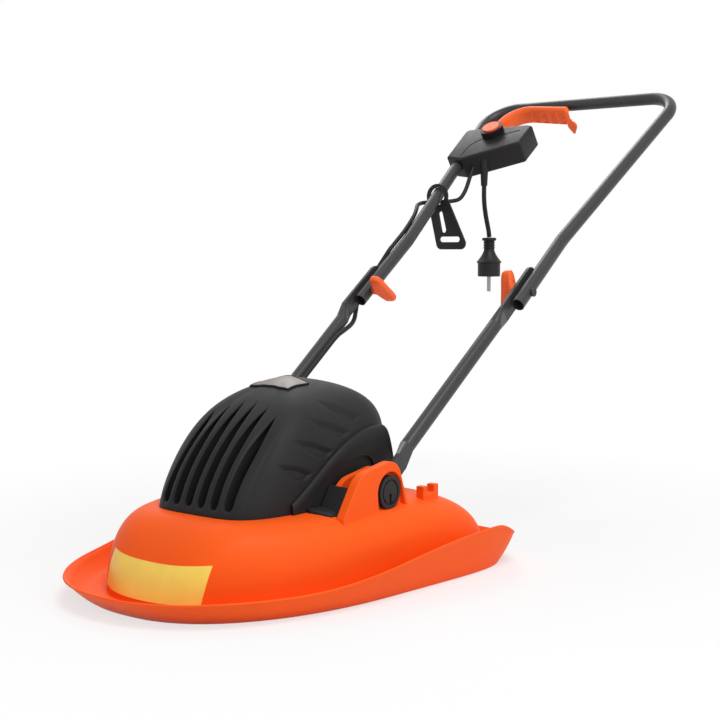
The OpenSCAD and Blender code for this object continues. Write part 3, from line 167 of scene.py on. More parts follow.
# The record's slots, and the scene's own finishes after them. Each has its colour, roughness, the
# grain's scale, depth and strength, the colour's change and its scale, and metal or specular.
M = {
    "deck_plastic": surface("deck_orange", lin(249, 94, 26), (0.44, 0.54), 700, 0.00006, 0.2, 0.03, 6,
                            specular=0.12),
    "cover_plastic": surface("cover_grey", lin(34, 34, 35), (0.5, 0.62), 1500, 0.0001, 0.4, 0.07, 14,
                             specular=0.17),
    "black_plastic": surface("black_plastic", lin(27, 27, 28), (0.42, 0.55), 1200, 0.00006, 0.15, 0.1, 20),
    "orange_plastic": surface("orange_trim", lin(250, 106, 52), (0.4, 0.5), 900, 0.00004, 0.08, 0.04, 20,
                              specular=0.2),
    "tube_paint": surface("tube_paint", lin(58, 58, 60), (0.28, 0.38), 500, 0.00002, 0.05, 0.06, 30),
    "zinc_steel": surface("zinc", lin(178, 180, 184), (0.28, 0.42), 600, 0.00004, 0.3, 0.08, 60, 1.0),
    "blade_steel": surface("blade_steel", lin(150, 152, 156), (0.25, 0.4), 400, 0.00005, 0.3, 0.12, 40, 1.0),
    "lamination": surface("lamination", lin(120, 122, 126), (0.4, 0.5), 500, 0.00005, 0.3, 0.1, 60, 1.0),
    "cast_alloy": surface("cast_alloy", lin(165, 167, 170), (0.45, 0.6), 350, 0.00012, 0.5, 0.08, 40, 1.0),
    "winding": surface("winding", lin(176, 92, 48), (0.3, 0.42), 800, 0.0001, 0.5, 0.15, 80, 0.8),
    "brush_brass": surface("brass", lin(196, 158, 84), (0.28, 0.4), 600, 0.00004, 0.3, 0.1, 60, 1.0),
    "carbon": surface("carbon", lin(26, 26, 27), (0.5, 0.65), 900, 0.00008, 0.4, 0.1, 60),
    "nylon": surface("nylon", lin(214, 188, 120), (0.4, 0.5), 700, 0.00005, 0.3, 0.06, 40),
    "fan_plastic": surface("fan_plastic", lin(44, 44, 46), (0.45, 0.58), 900, 0.00008, 0.35, 0.08, 20),
    "lead_rubber": surface("lead_rubber", lin(24, 24, 25), (0.46, 0.6), 1600, 0.00006, 0.35, 0.12, 60),
    "sticker": surface("blank_sticker", lin(250, 222, 100), (0.32, 0.4), 500, 0.00003, 0.15, 0.04, 40),
    # Near black for painted shade: the sheet inside the cover's slots and the line along the switch box's
    # moulded line
    "screen": surface("painted_shade_black", lin(7, 7, 8), (0.7, 0.8), 700, 0.0001, 0.3, 0.2, 40, specular=0.1),
    "dark_steel": surface("dark_steel", lin(58, 58, 60), (0.35, 0.5), 600, 0.00004, 0.25, 0.08, 60, 0.8),
    "nickel": surface("nickel", lin(150, 150, 152), (0.28, 0.4), 600, 0.00004, 0.25, 0.08, 60, 1.0),
    "plate": surface("bare_plate", lin(112, 104, 100), (0.36, 0.46), 900, 0.00004, 0.25, 0.06, 60, 0.3),
}
OWN_FINISHES = {"fold_bolt_left": "dark_steel", "fold_bolt_right": "dark_steel", "plug_pins": "nickel"}
for sub in RECORD["subparts"]:
    slots = NODES[sub["node"]].data.materials
    slots.clear()
    slots.append(M[OWN_FINISHES.get(sub["node"], sub["material_slot"])])


# Mesh helpers

def smooth(ob, angle):
    """Smooth shading, with the edges sharper than an angle kept sharp."""
    ob.data.shade_smooth()
    ob.data.set_sharp_from_angle(angle=math.radians(angle))


def round_edges(ob, width, segments, angle=30, harden=False):
    mod = ob.modifiers.new("edge", "BEVEL")
    mod.width, mod.segments, mod.limit_method = width * MM, segments, "ANGLE"
    mod.angle_limit, mod.harden_normals = math.radians(angle), harden


def make(name, verts, faces, slot, body, angle, bevel=0.0):
    """A piece that rides on a body. Without a body it is a cutter, or its maker leaves it unattached."""
    me = bpy.data.meshes.new(name)
    me.from_pydata([tuple(v) for v in verts], [], [tuple(f) for f in faces])
    me.validate()
    bm = bmesh.new()
    bm.from_mesh(me)
    bmesh.ops.recalc_face_normals(bm, faces=bm.faces)
    bm.to_mesh(me)
    bm.free()
    ob = bpy.data.objects.new(name, me)
    SCENE.collection.objects.link(ob)
    smooth(ob, angle)
    me.materials.append(M[slot])
    if bevel:
        round_edges(ob, bevel, 3, 40, True)
    if body:
        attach(ob, body)
    return ob


def ring_faces(n, m, close_n):
    """Faces over n rings of m points each."""
    out = []
    for i in range(n if close_n else n - 1):
        for j in range(m):
            a, b = i * m + j, ((i + 1) % n) * m + j
            out.append((a, b, ((i + 1) % n) * m + (j + 1) % m, i * m + (j + 1) % m))
    return out


def capped_rings(n, m):
    """Faces over n rings of m points, closed at both ends."""
    return ring_faces(n, m, False) + [tuple(range(m)), tuple(range((n - 1) * m, n * m))]


def thick(name, outer, inner, n, m, slot, body, angle):
    """Closed shell between two grids of n by m points."""
    half = n * m
    faces = []
    for i in range(n - 1):
        for j in range(m - 1):
            q = (i * m + j, (i + 1) * m + j, (i + 1) * m + j + 1, i * m + j + 1)
            faces += [q, tuple(half + v for v in q[::-1])]
        for j in (0, m - 1):
            faces.append((i * m + j, half + i * m + j, half + (i + 1) * m + j, (i + 1) * m + j))
    for j in range(m - 1):
        for i in (0, n - 1):
            faces.append((i * m + j, i * m + j + 1, half + i * m + j + 1, half + i * m + j))
    return make(name, list(outer) + list(inner), faces, slot, body, angle)


def cut(ob, angle, *cutters):
    """Takes the cutters out of ob's mesh, removes them and smooths what is left."""
    for c in cutters:
        mod = ob.modifiers.new("cut", "BOOLEAN")
        mod.object, mod.operation, mod.solver = c, "DIFFERENCE", "EXACT"
    bpy.context.view_layer.update()
    dg = bpy.context.evaluated_depsgraph_get()
    me = bpy.data.meshes.new_from_object(ob.evaluated_get(dg))
    ob.modifiers.clear()
    old, ob.data = ob.data, me
    bpy.data.meshes.remove(old)
    for c in cutters:
        bpy.data.objects.remove(c)
    smooth(ob, angle)


def prism(name, loop, place, slot, body, bevel=0.0):
    """Solid between two copies of a loop; place(point, end) gives each one's place."""
    n = len(loop)
    verts = [place(p, end) for end in (0, 1) for p in loop]
    faces = [tuple(range(n - 1, -1, -1)), tuple(range(n, 2 * n))]
    faces += [(i, (i + 1) % n, n + (i + 1) % n, n + i) for i in range(n)]
    return make(name, verts, faces, slot, body, 30, bevel)


def catmull(points, steps):
    p = [np.array(q, float) for q in points]
    n = len(p)
    out = []
    for i in range(n - 1):
        a, b, c, d = p[max(0, i - 1)], p[i], p[i + 1], p[min(n - 1, i + 2)]
        square, cube = 2 * a - 5 * b + 4 * c - d, 3 * b - a - 3 * c + d
        for k in range(steps):
            t = k / steps
            out.append(b + t / 2 * ((c - a) + t * (square + t * cube)))
    return out + [p[-1]]


def circle(cx, cy, r, n):
    turns = [math.radians(360 * k / n) for k in range(n)]
    return [(cx + r * math.cos(t), cy + r * math.sin(t)) for t in turns]


def tube(name, path, radius, slot, body, sides=20):
    """Round tube along a path, closed at both ends; the radius is in millimetres."""
    path = [np.array(q, float) for q in path]
    n = len(path)
    verts, ref = [], np.array([0.93, 0.21, 0.3])
    for i in range(n):
        t = path[min(n - 1, i + 1)] - path[max(0, i - 1)]
        t /= np.linalg.norm(t)
        u = np.cross(t, ref)
        u /= np.linalg.norm(u)
        w = np.cross(t, u)
        verts += [path[i] + radius * MM * (c * u + s * w) for c, s in circle(0, 0, 1, sides)]
    return make(name, verts, capped_rings(n, sides), slot, body, 50)


def hull(points):
    """Convex outline round a set of points, anticlockwise."""
    pts = sorted(set((round(a, 4), round(b, 4)) for a, b in points))
    loop = []
    for row in (pts, pts[::-1]):
        chain = []
        for p in row:
            while len(chain) > 1 and ((chain[-1][0] - chain[-2][0]) * (p[1] - chain[-2][1])
                                      - (chain[-1][1] - chain[-2][1]) * (p[0] - chain[-2][0])) <= 0:
                chain.pop()
            chain.append(p)
        loop += chain[:-1]
    return loop


# Mains lead: it hangs from the switch box and ends in its plug. PLUG has radii, and depths below its top.
LEAD_R, PLUG_AT, PLUG_SIDES, PLUG_RIBS = 4, (-118, 957, 436), 48, 3
LEAD = [(-118, 939, 525), (-118, 939, 507), (-118, 941, 490), (-118, 945.5, 473), (-118, 951, 458),
        (-118, 955, 447), (-118, 957, 437)]
PLUG = [(9, 0), (12, 0.8), (12.4, 2), (12.4, 4.5), (11.6, 5.4), (9.4, 5.8), (9, 6.6)]
for k in range(PLUG_RIBS):
    z = 7 + 4.6 * k
    PLUG += [(9, z), (10, z + 0.7), (10, z + 2.6), (9, z + 3.3)]
PLUG += [(9.2 + 11.4 * ((z - 21) / 20) ** 1.5, z) for z in np.linspace(21, 41, 9)]
PLUG += [(21.4, 41.6), (21.4, 43.6), (20.8, 44.4), (19.6, 44.8), (19.6, 66.6), (19.0, 67.6), (17.4, 68)]
lead_path = [deck_pt(p) for p in catmull(LEAD, 5)]
lead = tube("mains_lead_tube", lead_path, LEAD_R, "lead_rubber", "upper_handle", 24)
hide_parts("mains_lead")
plug_verts = [deck_pt((x, y, PLUG_AT[2] - z)) for r, z in PLUG
              for x, y in circle(*PLUG_AT[:2], r, PLUG_SIDES)]
plug = make("plug_moulding", plug_verts, capped_rings(len(PLUG), PLUG_SIDES), "black_plastic",
            "upper_handle", 30)
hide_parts("plug_body")

# Motor cable in its four runs
CABLE_R = 3.5
UPPER_RUN = [(-136, 768, -7), (-137, 750, -15), (-139, 728, -27), (-142, 708, -31), (-150, 692, -25),
             (-168, 681, -18), (-184, 664, -8), (-180, 644, 1), (-168, 622, 7), (-160, 600, 8.5),
             (-154.6, 560, 8.5), (-154, 520, 8.5)]
FOLD_RUN = [(-154, 520, 8.5), (-153.8, 506, 8.5), (-158, 492, 3), (-162.5, 476, -3), (-164.5, 455, -7),
            (-164.5, 430, -8), (-163.5, 408, -10), (-159, 390, -14.5), (-152, 373, -17), (-144, 356, -16.5),
            (-137, 338, -12), (-132, 318, -5), (-130, 300, 0.5), (-129.6, 285, 2)]
LOWER_RUN = [(-129.6, 285, 2), (-128.6, 220, 2), (-127.2, 140, 2)]
ENTRY_RUN = [(-127.2, 140, 2), (-127, 131, 2), (-123.5, 123.5, -5.5), (-114, 124, -16.5), (-98, 131, -26),
             (-76, 136, -31), (-58, 135, -30), (-50, 131.2, -26.6), (-50, 123.3, -20.8)]


def cable(name, run, body):
    ob = tube(name + "_tube", [tube_pt(p) for p in catmull(run, 6)], CABLE_R, "lead_rubber", body)
    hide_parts(name)
    return ob


cable("cable_run_upper", UPPER_RUN, "upper_handle")
cable("cable_run_lower", LOWER_RUN, "lower_handle")
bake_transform(cable("cable_run_fold", FOLD_RUN, None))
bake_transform(cable("cable_run_entry", ENTRY_RUN, None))

# Deck: the solids' loft with finer stations and rounded edges. The dome's two powers, across and up,
# are given at the nose and at the sides.
STATIONS, LEDGE_OUT, LEDGE_IN, FLARE_BEND = 240, 5, 17, 0.3284
ACROSS_POWERS, UP_POWERS = (0.82, 1.6), (1.2, 0.68)


def pole(a, n):
    return (abs(math.cos(a)) ** n + abs(math.sin(a)) ** n) ** (-1 / n)


def outline(a, half, length, taper, nose, tail):
    p = pole(a, nose if math.sin(a) < 0 else tail)
    v = p * math.sin(a)
    return np.array([half * (1 + taper * v) * p * math.cos(a), length / 2 * (1 + v)])


def sole_pt(a):
    return outline(a, SOLE["half"], SOLE["length"], SOLE["taper"], SOLE["nose"], SOLE["tail"])


def sole_out(a):
    d = sole_pt(a + math.radians(1)) - sole_pt(a - math.radians(1))
    n = np.array([d[1], -d[0]])
    return n / np.linalg.norm(n)


def cover_pt(a, inset=0.0):
    return np.array([0, COVER["front"] + inset]) + outline(
        a, COVER["half"] - inset, COVER["length"] - 2 * inset, COVER["taper"], COVER["nose"], COVER["tail"])


def rim(a):
    """How far the rim flares out, and how high it stands."""
    v = sole_pt(a)[1] / (SOLE["length"] / 2) - 1
    flare = between((RIM["side_flare"], RIM["nose_flare"]), max(0, -math.sin(a)) ** 3)
    rise = (RIM["side_high"] - RIM["nose_high"]) * eased(v, RIM["rise"])
    fall = (RIM["side_high"] - RIM["tail_high"]) * eased(v, RIM["fall"])
    return flare, RIM["nose_high"] + rise - fall


def dome_pt(a, u, deep=0.0):
    foot = sole_pt(a) - (GUTTER_W + deep) * sole_out(a)
    top = cover_pt(a, deep - LEDGE_OUT)
    side = math.cos(a) ** 2
    across = (1 - math.cos(math.pi / 2 * u)) ** between(ACROSS_POWERS, side)
    up = math.sin(math.pi / 2 * u) ** between(UP_POWERS, side)
    p = foot + (top - foot) * across
    return np.array([p[0], p[1], GUTTER_Z - deep + (SEAT_Z - GUTTER_Z) * up])


def deck_section(a):
    """The deck's closed section: outer face, lip, gutter, dome and ledge, then back inside."""
    f, h = rim(a)
    base, out = sole_pt(a), sole_out(a)

    def at(d, z):
        p = base + d * out
        return np.array([p[0], p[1], z])

    def wall(q):
        return h * ((1 - FLARE_BEND) * q + FLARE_BEND * q * q)

    pts = [at(0, 0), at(0.6, 0.5)]
    pts += [at(f * q, max(wall(q), 1.2 * q)) for q in np.linspace(0.08, 0.97, 10)]
    for k in range(6):
        t = math.pi * k / 5
        pts.append(at(f - LIP / 2 + LIP / 2 * math.cos(t), h - LIP / 2 + LIP / 2 * math.sin(t)))
    for q in np.linspace(0.95, 0.12, 9):
        low = 1 - q
        pts.append(at(f * q - LIP * (1 - 0.2 * low), wall(q) * (1 - 0.1 * low) + GUTTER_Z * low ** 2 * 0.9))
    pts += [at(-LIP, GUTTER_Z), at(-(GUTTER_W + LIP) / 2, GUTTER_Z)]
    pts += [dome_pt(a, u) for u in np.linspace(0.0, 1.0, 26)]
    ledge = cover_pt(a, LEDGE_IN)
    pts += [np.array([ledge[0], ledge[1], z]) for z in (SEAT_Z, SEAT_Z - WALL)]
    pts += [dome_pt(a, u, WALL) for u in np.linspace(1.0, 0.0, 14)]
    pts += [at(-RING_W, GUTTER_Z - WALL), at(-RING_W, 0)]
    return [deck_pt(p) for p in pts]


sections = [deck_section(2 * math.pi * k / STATIONS) for k in range(STATIONS)]
deck = make("deck_body", [p for s in sections for p in s], ring_faces(STATIONS, len(sections[0]), True),
            "deck_plastic", "deck", 38)
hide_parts("deck_shell")

# Guards at the pivots, with the cap's arched recess in the outer cheek, and the rests behind them.
# Their outlines are y and z from the pivot; crown and brow are circles with their radius.
CHEEK_IN, CHEEK_OUT, CAP_SEAT, CAP_ROOM, INNER_INSET = (110, 118), (135, 148), 140, 25, 6
GUARD = dict(crown=(0, 14, 24), brow=(-38, -5, 37), front=-93, back=38, edge=-20, foot=-58)
RECESS_FOOT = [(-22, -28), (34, -28), (34, -24), (-22, -24)]
REST_W = 12
REST = [(72, -70), (106, -70), (106, -4), (96, -4), (96, -14), (82, -14), (82, -4), (72, -4)]


def guard_outline(inset):
    front, back, edge = GUARD["front"] + inset, GUARD["back"] - inset, GUARD["edge"] - inset
    points = [(front, GUARD["foot"]), (back, GUARD["foot"]), (back, edge), (front, edge)]
    for y, z, r in (GUARD["crown"], GUARD["brow"]):
        points += circle(y, z - inset, r - inset / 2, 64)
    return hull(points)


def by_pivot(side, x0, x1):
    """Places a loop of y and z from the pivot at two distances from the middle."""
    return lambda p, end: deck_pt((side * (x1 if end else x0), PIVOT_Y + p[0], PIVOT_Z + p[1]))


for side, label in SIDES:
    far = CHEEK_OUT[1]
    prism("guard_inner_" + label, guard_outline(INNER_INSET), by_pivot(side, *CHEEK_IN),
          "deck_plastic", "deck", 1.2)
    guard = prism("guard_outer_" + label, guard_outline(0), by_pivot(side, *CHEEK_OUT),
                  "deck_plastic", "deck")
    recess = hull(circle(0, 0, CAP_ROOM, 64) + RECESS_FOOT)
    cut(guard, 30, prism("recess", recess, by_pivot(side, CAP_SEAT, far + 5), "deck_plastic", None))
    round_edges(guard, 1.6, 3)
    prism("rest_" + label, REST, by_pivot(side, far - REST_W, far), "deck_plastic", "deck", 1.2)

# Motor cover: a shell with cooling slots, flutes on its sides and a wing at each side.
# ARCS are degrees from the nose and their step; a flute is given by the y and z of its two ends.
COVER_TOP = np.array([0, COVER["front"] + COVER["top"] * COVER["length"]])
NOSE_TURN, LAST_ROW, DENT_WAY = (0.16, 0.8), 0.9995, np.array([1, 1, 0.4])
SLOTS, SLOT_PITCH, SLOT_W, SLOT_LOW, SLOT_HIGH, SLOT_DROP, SLOT_POINT = 6, 20.6, 12.5, 9, 126, 2.2, 0.55
SLOT_EDGE = dict(deep=1.5, wide=3.4, end=110, front=240, half=72)
FLUTES = [((164, 160), (216, 145)), ((194, 187), (256, 167)), ((228, 209), (292, 187)),
          ((264, 226), (322, 204))]
FLUTE = dict(wide=14, slope=0.5, lip=3.4, bow=3, lean=1.25, full=0.85, half=55)
PANEL = dict(x=68, deep=1.1, wide=2.6, run=30, fade=(150, 220))
ARCS = ((0, 62, 0.75), (62, 135, 0.75), (135, 180, 2.5))
ANGLES = [math.radians(-90 + s) for arc in ARCS for s in np.arange(*arc)]
ANGLES += [math.pi - a for a in ANGLES[:0:-1]]
COVER_N, COVER_ROWS, INNER_ROWS = len(ANGLES), 190, 20


def nose_share(a):
    return eased(-math.sin(a), NOSE_TURN)


def rise_power(a):
    tail = (RISE["tail"] - RISE["side"]) * max(0, math.sin(a)) ** 2
    return between((RISE["side"], RISE["nose"]), nose_share(a)) + tail


def cover_wall_pt(a, share, inset=0.0):
    power = between((RISE["power"], RISE["nose_power"]), nose_share(a))
    p = COVER_TOP + (cover_pt(a, inset) - COVER_TOP) * (1 - share ** rise_power(a)) ** power
    return np.array([p[0], p[1], SEAT_Z + share * (COVER["height"] - inset)])


def slot_half(t):
    """Half width of a slot at a share of its height."""
    point = min(1, max(0, (t - SLOT_POINT) / (1 - SLOT_POINT)))
    return SLOT_W / 2 * (1 - point ** 1.8) ** 0.8 * min(1, 0.55 + 9 * t)


def slot_top(off):
    return SLOT_HIGH - SLOT_DROP * off * off


SLOT_OFFS = [i - (SLOTS - 1) / 2 for i in range(SLOTS)]


def slot_dent(x, z):
    deep = 0.0
    for off in SLOT_OFFS:
        t = (z - SEAT_Z - SLOT_LOW) / (slot_top(off) - SLOT_LOW)
        gap = abs(x - off * SLOT_PITCH) - slot_half(min(1, max(0, t)))
        gap = math.hypot(max(0, gap), max(0, -t, t - 1) * SLOT_EDGE["end"])
        deep = max(deep, SLOT_EDGE["deep"] * max(0, 1 - gap / SLOT_EDGE["wide"]) ** 2)
    return deep


def flute_dent(y, z):
    deep = 0.0
    for (by, bz), (ty, tz) in FLUTES:
        vy, vz = ty - by, tz - bz
        n = math.hypot(vy, vz)
        t = ((y - by) * vy + (z - bz) * vz) / (n * n)
        if 0 < t < 1:
            w = FLUTE["wide"] * math.sin(math.pi * t ** FLUTE["lean"]) ** FLUTE["full"]
            d = ((y - by) * vz - (z - bz) * vy) / n + FLUTE["bow"] * math.sin(math.pi * t)
            if d > 0:
                deep = max(deep, FLUTE["slope"] * min(d, w) * (1 - ease((d - w) / FLUTE["lip"])))
    return deep


def dent(p):
    """How far the relief goes in at a point: slot edges in front, flutes and a panel's edge at the sides."""
    x, y, z = p
    deep = 0.0
    if y < SLOT_EDGE["front"] and abs(x) < SLOT_EDGE["half"]:
        deep = slot_dent(x, z)
    if abs(x) > FLUTE["half"]:
        deep = max(deep, flute_dent(y, z))
    edge = abs(x) - PANEL["x"]
    if edge > 0 and y < SLOT_EDGE["front"]:
        fade = max(0, 1 - edge / PANEL["run"]) ** 2 * (1 - eased(z, PANEL["fade"]))
        deep = max(deep, PANEL["deep"] * ease(edge / PANEL["wide"]) * fade)
    return deep


def cover_shell():
    verts, faces = [], []
    for inset, rows in ((0, COVER_ROWS), (COVER["wall"], INNER_ROWS)):
        base = len(verts)
        for i in range(rows + 1):
            share = LAST_ROW * math.sin(math.pi / 2 * i / rows)
            for a in ANGLES:
                p = cover_wall_pt(a, share, inset)
                d = 0 if inset else dent(p)
                if d:
                    p = p + d / COVER["wall"] * (cover_wall_pt(a, share, COVER["wall"]) - p) * DENT_WAY
                verts.append(deck_pt(p))
        tip = len(verts)
        verts.append(deck_pt((0, COVER_TOP[1], SEAT_Z + COVER["height"] - inset)))
        for i in range(rows + 1):
            low, high = base + i * COVER_N, base + (i + 1) * COVER_N
            for k in range(COVER_N):
                n = (k + 1) % COVER_N
                q = (low + k, low + n, high + n, high + k) if i < rows else (low + k, low + n, tip)
                faces.append(q[::-1] if inset else q)
    inner = (COVER_ROWS + 1) * COVER_N + 1
    for k in range(COVER_N):
        n = (k + 1) % COVER_N
        faces.append((n, k, inner + k, inner + n))
    return verts, faces


def slot_place(p, end):
    return deck_pt((p[0], COVER["front"] + (130 if end else -20), SEAT_Z + p[1]))


cover = make("cover_body", *cover_shell(), "cover_plastic", "deck", 40)
cutters = []
for off in SLOT_OFFS:
    edge = [(slot_half(t), between((SLOT_LOW, slot_top(off)), t)) for t in np.linspace(0, 1, 25)]
    loop = [(off * SLOT_PITCH + w, z) for w, z in edge] + [(off * SLOT_PITCH - w, z) for w, z in edge[-2::-1]]
    cutters.append(prism("slot_cut", loop, slot_place, "cover_plastic", None))
cut(cover, 40, *cutters)
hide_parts("motor_cover")

# Fins between the slots, and a near-black sheet behind them as painted shade inside the slots
FIN_HALF, FIN_DEPTH, FIN_INSET, FIN_ROWS = 3.9, 17, 2.8, 30
SHADE_SHEET_INSETS, SHADE_SHEET_HALF, SHADE_SHEET_COLS, SHADE_SHEET_ROWS = (19, 20.5), 56, 40, 30


def front_wall_pt(x, share, inset):
    """Point of the cover's front wall at a distance across it."""
    lo, hi = -math.pi / 2, -0.3
    for _ in range(28):
        mid = (lo + hi) / 2
        lo, hi = (mid, hi) if cover_wall_pt(mid, share, inset)[0] < abs(x) else (lo, mid)
    p = cover_wall_pt(lo, share, inset)
    return np.array([x, p[1], p[2]])


for i in range(-SLOTS // 2, SLOTS // 2 + 1):
    outer, inner = [], []
    for k in range(FIN_ROWS + 1):
        share = 0.05 + (slot_top(i) / COVER["height"] - 0.03) * k / FIN_ROWS
        for side in (-1, 1):
            p = front_wall_pt(i * SLOT_PITCH + side * FIN_HALF, share, FIN_INSET)
            outer.append(deck_pt(p))
            inner.append(deck_pt(p + np.array([0, FIN_DEPTH, 0])))
    thick("slot_fin_%d" % (i + SLOTS // 2), outer, inner, FIN_ROWS + 1, 2, "cover_plastic", "deck", 35)
# Painted shade: a near-black sheet behind the fins, seen through the slots where their inside is in shade
screen = [[], []]
for grid, inset in zip(screen, SHADE_SHEET_INSETS):
    for i in range(SHADE_SHEET_COLS + 1):
        a = math.radians(-90 + SHADE_SHEET_HALF * (2 * i / SHADE_SHEET_COLS - 1))
        for k in range(SHADE_SHEET_ROWS + 1):
            grid.append(deck_pt(cover_wall_pt(a, 0.02 + 0.84 * k / SHADE_SHEET_ROWS, inset)))
thick("painted_shade_black", *screen, SHADE_SHEET_COLS + 1, SHADE_SHEET_ROWS + 1, "screen", "deck", 40)

# Wings of the cover, arched over the guards: degrees round the cover, and shares of its height
WING = dict(start=-27, peak=34, end=42, foot=0.085, high=0.6, low=0.2, tail=7, power=8)
WING_COLS, WING_ROWS, WING_EDGE, WING_STEP, WING_BAND, WING_ROUND = 70, 60, 2.2, 4.6, 1.2, 6
ARCH_X, ARCH_GROW, ARCH_LIFT = (103, 130), 1.08, 4


def wing_top(deg):
    if deg < WING["peak"]:
        turn = (deg - WING["start"]) / (WING["peak"] - WING["start"])
        return between((WING["foot"], WING["high"]), math.sin(math.pi / 2 * turn))
    return between((WING["high"], WING["low"]), eased(deg, (WING["peak"], WING["end"])))


def wing_pt(deg, share, step):
    foot = np.array([0, COVER["front"] - step]) + outline(
        math.radians(deg), COVER["half"] + step, COVER["length"] + 2 * step, COVER["taper"], COVER["nose"],
        WING["tail"])
    p = COVER_TOP + (foot - COVER_TOP) * (1 - share ** WING["power"]) ** RISE["power"]
    return np.array([p[0], p[1], SEAT_Z + share * COVER["height"]])


for side, label in SIDES:
    outer, inner = [], []
    for i in range(WING_COLS + 1):
        deg = between((WING["start"], WING["end"]), i / WING_COLS)
        for j in range(WING_ROWS + 1):
            t = j / WING_ROWS
            down = (1 - t) * wing_top(deg) * COVER["height"]
            round_off = math.sqrt(max(0, 1 - (1 - min(1, down / WING_ROUND)) ** 2))
            proud = WING_STEP + WING_BAND * math.exp(-((down - 9) / 8) ** 2)
            p = wing_pt(deg, wing_top(deg) * t, between((WING_EDGE, proud), round_off))
            q = cover_wall_pt(math.radians(deg), wing_top(deg) * (0.1 + 0.9 * t), COVER["wall"] / 2)
            outer.append(deck_pt((side * p[0], p[1], p[2])))
            inner.append(deck_pt((side * q[0], q[1], q[2])))
    wing = thick("cover_wing_" + label, outer, inner, WING_COLS + 1, WING_ROWS + 1, "cover_plastic",
                 "deck", 35)
    arch = hull([(y * ARCH_GROW, z * ARCH_GROW + ARCH_LIFT) for y, z in guard_outline(2)])
    cut(wing, 35, prism("arch_cut", arch, by_pivot(side, *ARCH_X), "cover_plastic", None))

# Apron of the cover, over the dome's shoulder in front of each guard
APRON_Y, APRON_Z, APRON_X = (200, 206, 219, 240, 262), (98, 96, 91, 86, 83), 131
APRON_DEG, APRON_COLS, APRON_ROWS, APRON_EDGE, APRON_LIFT = (-19, -4), 24, 12, 1.2, 3.2
for side, label in SIDES:
    outer, inner = [], []
    for i in range(APRON_COLS + 1):
        a = math.radians(between(APRON_DEG, i / APRON_COLS))
        lo, hi = 0.2, 1.0
        for _ in range(24):
            mid = (lo + hi) / 2
            q = dome_pt(a, mid)
            under = q[2] > np.interp(q[1], APRON_Y, APRON_Z) and q[0] < APRON_X
            lo, hi = (lo, mid) if under else (mid, hi)
        for k in range(APRON_ROWS + 1):
            u = lo + (1 - lo) * k / APRON_ROWS
            after = min(1, u + 0.01)
            q, r = dome_pt(a, u), dome_pt(a, after) - dome_pt(a, after - 0.02)
            out = np.array([r[2], 0, -r[0]]) / math.hypot(r[0], r[2])
            lift = APRON_EDGE + APRON_LIFT * math.sqrt(1 - (1 - min(1, k / 4)) ** 2)
            for grid, d in ((outer, lift), (inner, -1.0)):
                v = q + d * out
                grid.append(deck_pt((side * v[0], v[1], v[2])))
    thick("cover_apron_" + label, outer, inner, APRON_COLS + 1, APRON_ROWS + 1, "cover_plastic", "deck", 40)

# Return of the cover: a wall from the wing to the outer guard, in front of the inner one
RETURN_X, RETURN_Z, RETURN_INSETS, RETURN_ROWS = (104, 133.8), (-57, 13), (2.2, 5.4), 26


def front_of(loop, z):
    """The foremost point of an outline at a height."""
    crossed = [(a, b) for a, b in zip(loop, loop[1:] + loop[:1])
               if (a[1] - z) * (b[1] - z) <= 0 and a[1] != b[1]]
    return min(a[0] + (b[0] - a[0]) * (z - a[1]) / (b[1] - a[1]) for a, b in crossed)


levels = [between(RETURN_Z, k / RETURN_ROWS) for k in range(RETURN_ROWS + 1)]
face, back = [[(front_of(guard_outline(i), z), z) for z in levels] for i in RETURN_INSETS]
for side, label in SIDES:
    prism("cover_return_" + label, back + face[::-1], by_pivot(side, *RETURN_X), "cover_plastic", "deck", 0.8)

# Bail: a rounded grip with finger scallops, drawn gripped and turned back to its released place.
# The shares give its section's outer and inner side in its depth and height, which change from root to end.
HINGE, HUB_R = (-146, 846), 6.5
BAIL_TURN, BAIL_DEPTH, BAIL_HIGH, BAIL_LOW = math.radians(-5.5), 8.5, (16, 10), (13, 25)
BAIL_X, BAIL_END, BAIL_S, BAIL_R, BAIL_ROOT = -139, -24, REACH - TUBE_R - 1.2, 40, 867
BAIL_ROWS, GRIP, SCALLOPS, SCALLOP_DEEP = 140, (0.53, 0.95), 4, 5.0
OUT_SHARES = [(0.25, 0.93), (-0.35, 1), (-0.85, 0.65), (-1, 0), (-1, -0.5), (-0.8, -0.83), (-0.15, -1),
              (0.3, -0.95)]
IN_SHARES = [(0.25, 0.73), (0, 0.73), (-0.35, 0.46), (-0.53, 0), (-0.53, -0.46), (-0.35, -0.72), (0, -0.84),
             (0.3, -0.82)]


def bail_pt(p):
    x, s = p[0] - HINGE[0], p[1] - HINGE[1]
    c, n = math.cos(BAIL_TURN), math.sin(BAIL_TURN)
    return tube_pt((HINGE[0] + x * c - s * n, HINGE[1] + x * n + s * c, p[2]))


def bail_line(t):
    """Place and outward direction along the grip's inner face, from root to free end."""
    root, turn = BAIL_S - BAIL_R - BAIL_ROOT, BAIL_R * math.pi / 2
    run = t * (root + turn + BAIL_END - BAIL_X - BAIL_R) - root
    if run < 0:
        return (BAIL_X, BAIL_S - BAIL_R + run), (-1.0, 0.0)
    if run < turn:
        a = math.pi - run / BAIL_R
        c, n = math.cos(a), math.sin(a)
        return (BAIL_X + BAIL_R + BAIL_R * c, BAIL_S - BAIL_R + BAIL_R * n), (c, n)
    return (BAIL_X + BAIL_R + run - turn, BAIL_S), (0.0, 1.0)


